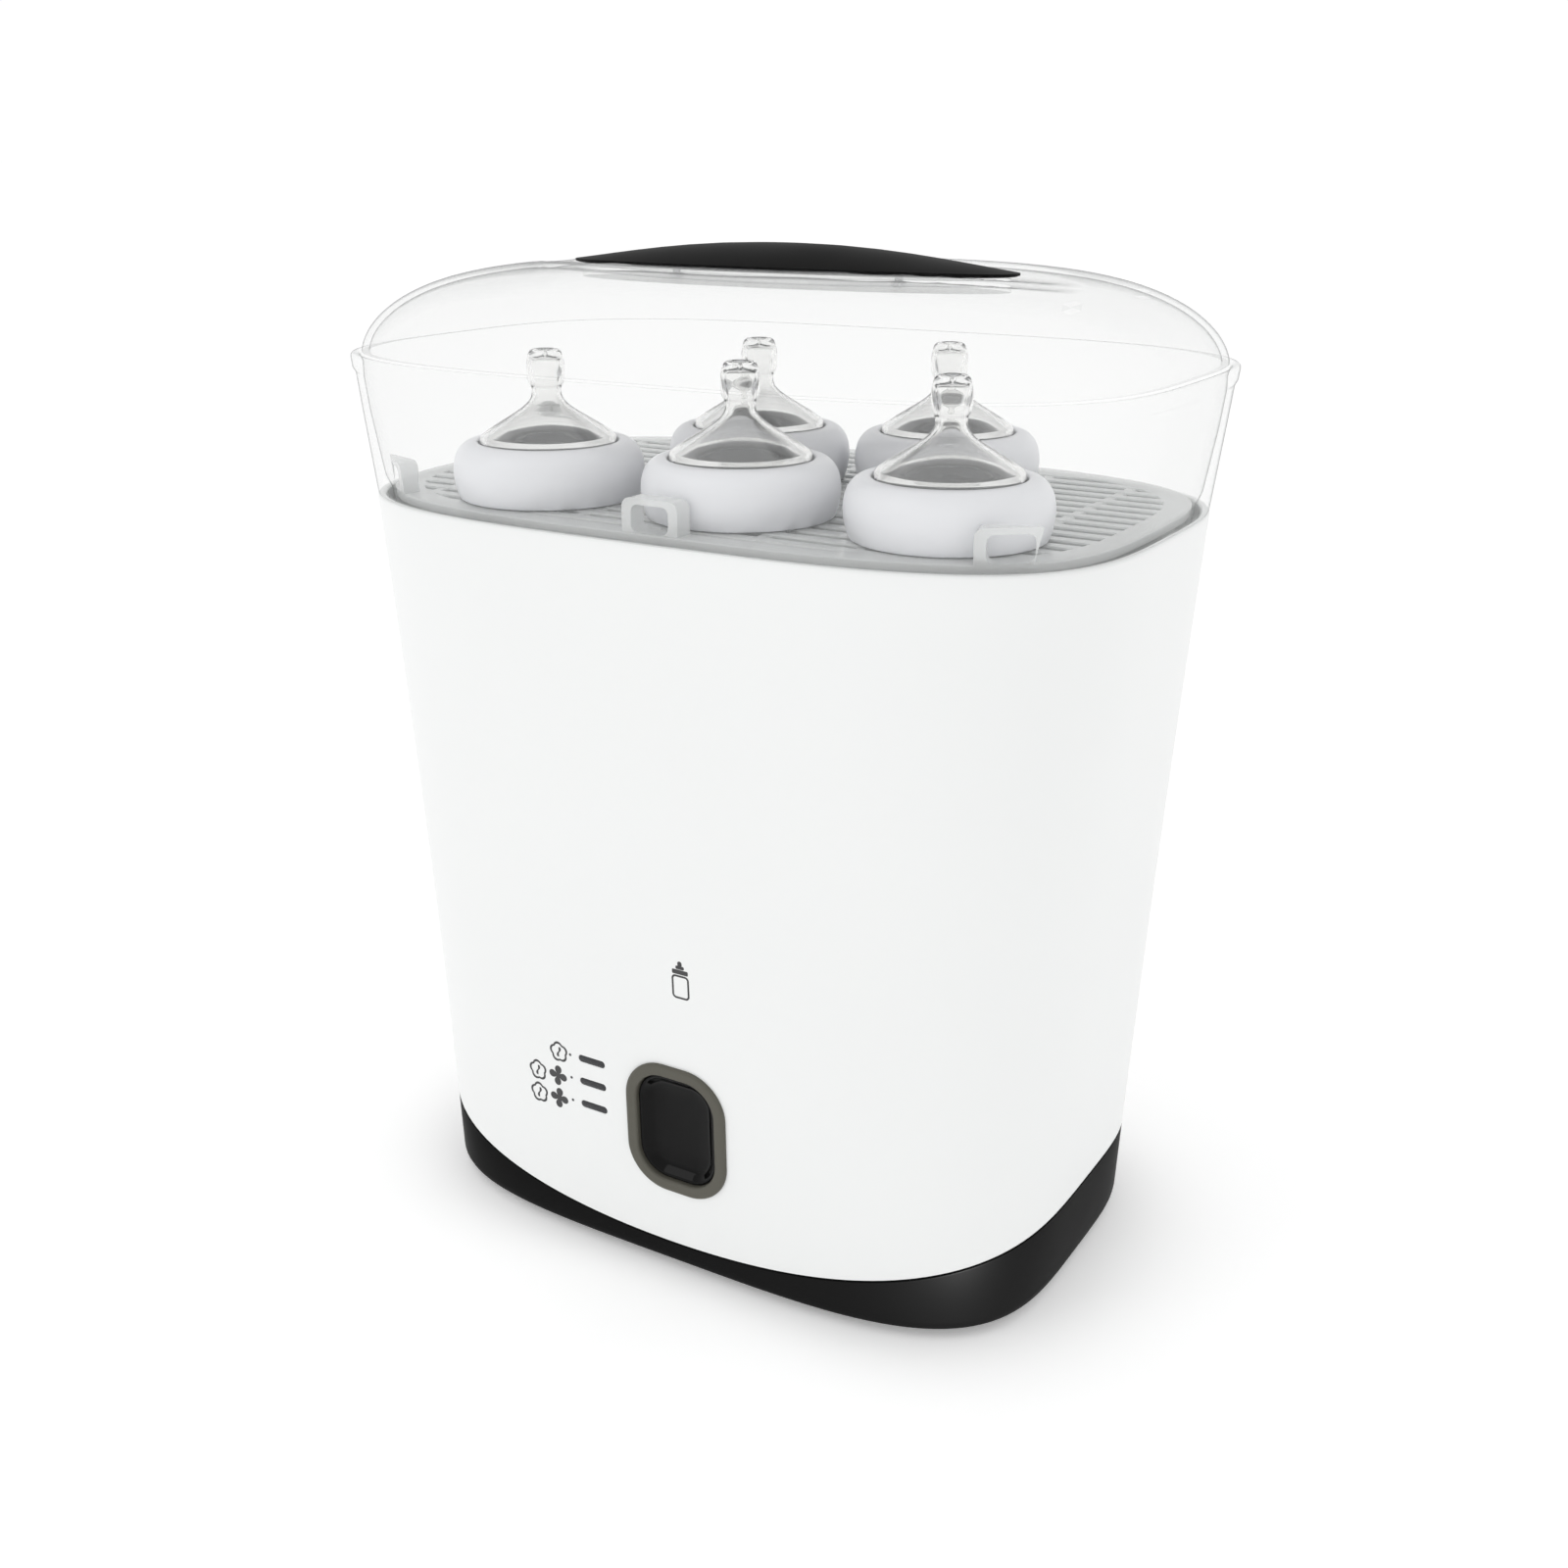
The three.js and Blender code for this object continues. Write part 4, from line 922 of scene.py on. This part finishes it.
def slatted_floor():
    """Milky clear floor: a border, slats along it, ribs across it and the finger arches."""
    edge = WALL + 3.2 * MM
    low, high = GRID_LOW.z, GRID_TOP
    reach_x, reach_y = GRID_HIGH.x, GRID_HIGH.y
    profile = rounded([
        (edge, low, 0), (edge, high, 0.6 * MM), (edge + 9 * MM, high, 0.6 * MM), (edge + 9 * MM, low, 0),
    ])
    border = loft("tray_floor", [oval_ring(inset, z) for inset, z in profile], FROSTED, closed=True)
    rows = int(reach_y / SLAT_PITCH)
    slats = [
        slat("slat", Vector((-reach_x, row * SLAT_PITCH - SLAT_HALF, low + 0.8 * MM)),
             Vector((reach_x, row * SLAT_PITCH + SLAT_HALF, high)), False)
        for row in range(-rows, rows + 1)
    ]
    ribs = [
        slat("rib", Vector((x * MM - 2 * MM, -reach_y, low)),
             Vector((x * MM + 2 * MM, reach_y, high - 0.2 * MM)), True)
        for x in (-105, -70, -35, 0, 35, 70, 105)
    ]
    lattice = boolean(merge("slats", slats), "UNION", merge("ribs", ribs))
    lattice = boolean(lattice, "INTERSECT", oval_plate("inside", edge + 5 * MM, low - 1 * MM, high + 1 * MM))
    solids, hollows = finger_arches()
    trim = oval_plate("trim", edge, low, high + 30 * MM)
    arches = boolean(merge("arches", solids), "INTERSECT", trim)
    arches = boolean(arches, "DIFFERENCE", merge("hollows", hollows))
    return boolean(border, "UNION", lattice, arches)


grid = slatted_floor()
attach(grid, "tray")
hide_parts("tray_grid")


def bottle_collar(name):
    """White screw collar: bulging side, rolled shoulder, and an open middle that clamps the teat."""
    low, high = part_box(name)
    centre = ((low.x + high.x) / 2, (low.y + high.y) / 2)
    radius, height = (high.y - low.y) / 2, high.z - low.z

    def at(share):
        return low.z + height * share

    profile = rounded([
        (radius - 2 * MM, low.z, 0.6 * MM), (radius - 0.6 * MM, at(0.22), 3 * MM), (radius, at(0.5), 4 * MM),
        (radius - 1.1 * MM, at(0.8), 4 * MM), (radius - 4.6 * MM, high.z, 3 * MM), (24 * MM, high.z, 1 * MM),
        (24 * MM, high.z - 2.5 * MM, 0.5 * MM), (radius - 4.6 * MM, high.z - 3.4 * MM, 1 * MM),
        (radius - 4.4 * MM, low.z, 0.6 * MM),
    ])
    return lathe(f"{name}_ring", profile, centre, COLLAR, 96, closed=True)


def bottle_teat(name):
    """Clear teat: clamped flange, stepped shoulder, cone, neck and rounded tip with its feed hole."""
    low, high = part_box(name)
    centre = ((low.x + high.x) / 2, (low.y + high.y) / 2)
    flange = (high.x - low.x) / 2
    edge = flange - 2.6 * MM
    base = low.z + 2 * MM

    def up(mm):
        return base + mm * MM

    profile = rounded([
        (flange, low.z, 0.5 * MM), (flange, base, 0.5 * MM),
        (edge, base, 0.4 * MM), (edge, up(4.6), 1.2 * MM),
        (edge - 3.4 * MM, up(7.0), 2 * MM), (8 * MM, up(14.4), 4 * MM), (5.1 * MM, up(17.5), 2.4 * MM),
        (4.9 * MM, up(21), 1.4 * MM), (6.35 * MM, up(23), 1.6 * MM), (6.5 * MM, up(29.5), 2.4 * MM),
        (5.2 * MM, up(33.8), 1.6 * MM), (2.6 * MM, up(33.8), 0.8 * MM), (2.2 * MM, up(33), 0.6 * MM),
        (0.6 * MM, up(33), 0.3 * MM), (0.6 * MM, up(31.4), 0.3 * MM), (4.4 * MM, up(31), 1.6 * MM),
        (4.9 * MM, up(28.5), 2 * MM), (3.6 * MM, up(22), 2 * MM), (3.6 * MM, up(17.5), 2 * MM),
        (6.6 * MM, up(13.6), 3 * MM), (edge - 4.8 * MM, up(5.4), 2 * MM), (edge - 1.8 * MM, up(3.4), 1 * MM),
        (edge - 1.8 * MM, low.z, 0.5 * MM),
    ])
    return lathe(f"{name}_skin", profile, centre, TEAT, 72, closed=True)


for i in range(1, 6):
    collar = bottle_collar(f"bottle_collar_{i}")
    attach(collar, "tray")
    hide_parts(f"bottle_collar_{i}")
    teat = bottle_teat(f"bottle_teat_{i}")
    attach(teat, "tray")
    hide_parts(f"bottle_teat_{i}")


# ---- Lid and grip ----

LENS_SQUARENESS = 2.0
HOLLOW = (106 * MM, 42 * MM, 6.2 * MM)      # reach, depth and drop of the dip round the grip
DOME_RISE = 31 * MM
PLINTH_LOW = LID_LOW.z + DOME_RISE - HOLLOW[2] - 1.5 * MM
VENT_X, VENT_Y = 117 * MM, 30 * MM


def signed_power(value, power):
    """Power that keeps the sign."""
    return math.copysign(abs(value) ** power, value)


def hollow_drop(x, y):
    """How far the dome dips at a point, round the grip."""
    reach, depth, drop = HOLLOW
    away = math.hypot(x / reach, y / depth)
    return drop * math.cos(away * math.pi / 2) ** 0.8 if away < 1 else 0.0


def dome_ring(share, z, skin=0.0):
    """Ring of the dome at a share of the rim's outline."""
    points = []
    for i in range(SEGMENTS):
        p = outline_point(2 * math.pi * i / SEGMENTS, RIM, RIM_HALF[0] - LID_HIGH.x + skin)
        x, y = p.x * share, p.y * share
        points.append(Vector((x, y, z - hollow_drop(x, y))))
    return points


def dome_rings(skin):
    """Rings of the dome from the rim to the top, moved in by a skin."""
    rings = []
    steps = 34
    rise = DOME_RISE - 0.9 * skin
    for k in range(steps):
        angle = math.pi / 2 * k / steps
        rings.append(dome_ring(math.cos(angle) ** 0.42, LID_LOW.z + rise * math.sin(angle) ** 1.2, skin))
    rings.append([Vector((0, 0, LID_LOW.z + rise - hollow_drop(0, 0)))])
    return rings


def lens_ring(share, z, reach, depth, steps=160, lift=lambda x: 0.0):
    """Lens-shaped ring, at a share of its full size."""
    points = []
    for i in range(steps):
        angle = 2 * math.pi * i / steps
        x = share * reach * signed_power(math.cos(angle), 2 / LENS_SQUARENESS)
        y = share * depth * signed_power(math.sin(angle), 2 / LENS_SQUARENESS)
        points.append(Vector((x, y, z + lift(x))))
    return points


def clear_lid():
    """Clear dome with a boss under the grip and two steam vents."""
    outer = dome_rings(0.0)
    inner = dome_rings(2.2 * MM)
    skin = loft("clear_lid", outer + inner[::-1], CLEAR, closed=True)
    reach, depth = GRIP_HIGH.x - 3 * MM, GRIP_HIGH.y - 1.6 * MM
    low, high = PLINTH_LOW, GRIP_LOW.z - CLEARANCE
    rings = [lens_ring(1, low, reach, depth), lens_ring(1, high - 0.6 * MM, reach, depth)]
    rings += [lens_ring(0.99, high, reach, depth)]
    plinth = loft("plinth", rings, CLEAR)
    vents = [
        block("vent", Vector((VENT_X - 1.3 * MM, y - 4.5 * MM, RIM)),
              Vector((VENT_X + 1.3 * MM, y + 4.5 * MM, 1)))
        for y in (-VENT_Y, VENT_Y)
    ]
    return boolean(boolean(skin, "UNION", plinth), "DIFFERENCE", *vents)


lid = clear_lid()
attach(lid, "lid")
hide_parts("lid_dome")


def grip_cap():
    """Arched matt cap on the lid, lens-shaped in plan, with a soft edge."""
    reach, depth = GRIP_HIGH.x, GRIP_HIGH.y
    base, top = GRIP_LOW.z, GRIP_HIGH.z
    edge = 1.8 * MM
    arch = 3.4 * MM

    def sag(z):
        return lambda x: -arch * (x / reach) ** 2 * (z - base) / (top - base)

    rings = [lens_ring(0.985, base, reach, depth), lens_ring(1, base + 0.4 * MM, reach, depth)]
    shares = [1, 0.992, 0.975, 0.94, 0.88, 0.8, 0.7, 0.58, 0.45, 0.3, 0.15]
    for share in shares:
        z = base + edge + (top - base - edge) * (1 - share ** 2.4)
        rings.append(lens_ring(share, z, reach, depth, lift=sag(z)))
    rings.append([Vector((0, 0, top))])
    return loft("grip_cap", rings, GRIP)


cap = grip_cap()
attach(cap, "lid")
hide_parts("handle_grip")


def grip_screw(name):
    """Short screw sunk in the lid's boss. The CAD's longer one would show below the grip."""
    low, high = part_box(name)
    centre = ((low.x + high.x) / 2, (low.y + high.y) / 2)
    head = PLINTH_LOW + 0.4 * MM
    top = min(high.z, GRIP_LOW.z + 4 * MM)
    profile = [
        (0, head + 0.7 * MM), (1.2 * MM, head + 0.7 * MM), (1.3 * MM, head), (2.3 * MM, head),
        (2.6 * MM, head + 0.4 * MM), (2.6 * MM, head + 1.6 * MM), (1.4 * MM, head + 1.8 * MM),
        (1.4 * MM, top), (0, top),
    ]
    return lathe(f"{name}_pin", profile, centre, STEEL, 32)


for side in ("left", "right"):
    screw = grip_screw(f"handle_screw_{side}")
    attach(screw, "lid")
    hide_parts(f"handle_screw_{side}")


# ---- Finishes of the CAD nodes that stay ----

NODE_FINISHES = {
    ZINC: (*SCREW_NODES, "heating_element", "thermostat", "fan_motor"),
    HEAT_BLACK: ("button_switch", "fan_housing", "fan_impeller", "fan_cover", "air_duct", "power_inlet"),
    BOARD: ("display_board", "control_board"),
    CERAMIC: ("thermal_fuse", "air_heater"),
    SILICONE: ("plate_seal",),
    LINER_WHITE: ("bottle_rack",),
    FILTER_PAD: ("air_filter",),
}
for material, names in NODE_FINISHES.items():
    for name in names:
        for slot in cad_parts[name].material_slots:
            slot.material = material


# ---- Studio ----

CENTRE = Vector((0, 0, CAD_BOX[1][2] / 2))
CAMERA_AZIMUTH = math.radians(30.79)
CAMERA_ELEVATION = math.radians(18.48)
CAMERA_DISTANCE = 0.66185
CAMERA_LENS = 41.03
CAMERA_SHIFT = -0.0265
FLOOR_REACH = 40.0               # far enough for its edge to stay out of sight
FLOOR_GLOW = 0.22                # keeps the floor white away from the lights
WORLD_STRENGTH = 1.02
GLINT_REACH = 1.2
BOUNCES = 24
CLEAR_BOUNCES = 32               # enough for every clear skin that a ray can cross


def studio_floor():
    """Plain pale floor, far wider than the view."""
    mesh = bpy.data.meshes.new("studio_floor")
    corners = [(x * FLOOR_REACH, y * FLOOR_REACH, 0) for x, y in ((-1, -1), (1, -1), (1, 1), (-1, 1))]
    mesh.from_pydata(corners, [], [(0, 1, 2, 3)])
    finish = Finish("studio_white", (0.95, 0.95, 0.95), 0.9)
    finish.vary_roughness(finish.noise(3), 0.02)
    finish.shader.inputs["Emission Color"].default_value = (1, 1, 1, 1)
    finish.shader.inputs["Emission Strength"].default_value = FLOOR_GLOW
    return link("studio_floor", mesh, finish.material)


def area_light(name, location, target, size, power):
    """Rectangular light that faces its target."""
    data = bpy.data.lights.new(name, "AREA")
    data.shape = "RECTANGLE"
    data.size, data.size_y = size
    data.energy = power
    light = bpy.data.objects.new(name, data)
    light.location = location
    light.rotation_euler = (Vector(target) - Vector(location)).to_track_quat("-Z", "Y").to_euler()
    bpy.context.collection.objects.link(light)
    return light


def glint_light(name, catcher, azimuth, elevation, power):
    """Small light that only one piece catches, for sheen on the base and a glint in the button."""
    across, up = math.radians(azimuth), math.radians(elevation)
    low, high = Vector(catcher.bound_box[0]), Vector(catcher.bound_box[6])
    middle = (low + high) / 2
    away = Vector((math.sin(across) * math.cos(up), -math.cos(across) * math.cos(up), math.sin(up)))
    light = area_light(name, middle + away * GLINT_REACH, middle, (0.2, 0.2), power)
    catchers = bpy.data.collections.new(f"{name}_catchers")
    catchers.objects.link(catcher)
    light.light_linking.receiver_collection = catchers


def white_world():
    """White all round the horizon and dimmer overhead."""
    world = bpy.data.worlds.new("studio")
    world.use_nodes = True
    nodes, links = world.node_tree.nodes, world.node_tree.links
    place = nodes.new("ShaderNodeTexCoord")
    axes = nodes.new("ShaderNodeSeparateXYZ")
    links.new(place.outputs["Generated"], axes.inputs["Vector"])
    ramp = nodes.new("ShaderNodeValToRGB")
    ramp.color_ramp.elements[0].position = 0.14
    ramp.color_ramp.elements[0].color = (1, 1, 1, 1)
    ramp.color_ramp.elements[1].position = 0.4
    ramp.color_ramp.elements[1].color = (0.82, 0.82, 0.82, 1)
    links.new(axes.outputs["Z"], ramp.inputs["Fac"])
    links.new(ramp.outputs["Color"], nodes["Background"].inputs["Color"])
    nodes["Background"].inputs["Strength"].default_value = WORLD_STRENGTH
    bpy.context.scene.world = world


def camera():
    """Camera at the photograph's viewing angle."""
    data = bpy.data.cameras.new("camera")
    data.sensor_width = 36
    data.lens = CAMERA_LENS
    data.shift_y = CAMERA_SHIFT
    data.clip_start = 0.05
    back = Vector((
        math.sin(CAMERA_AZIMUTH) * math.cos(CAMERA_ELEVATION),
        -math.cos(CAMERA_AZIMUTH) * math.cos(CAMERA_ELEVATION),
        math.sin(CAMERA_ELEVATION),
    ))
    view = bpy.data.objects.new("camera", data)
    view.location = CENTRE + back * CAMERA_DISTANCE
    view.rotation_euler = back.to_track_quat("Z", "Y").to_euler()
    bpy.context.collection.objects.link(view)
    bpy.context.scene.camera = view


floor = studio_floor()
white_world()
area_light("key_light", (-0.9, -1.3, 1.5), CENTRE, (0.8, 0.8), 2.5)
glint_light("front_sheen", pan, 46, 5, 150)
glint_light("left_sheen", pan, -118, 5, 25)
glint_light("key_glint", key, 0, 66, 5)
camera()
bpy.context.scene.view_settings.view_transform = "Standard"
bpy.context.scene.cycles.max_bounces = BOUNCES
bpy.context.scene.cycles.transmission_bounces = BOUNCES
bpy.context.scene.cycles.transparent_max_bounces = CLEAR_BOUNCES
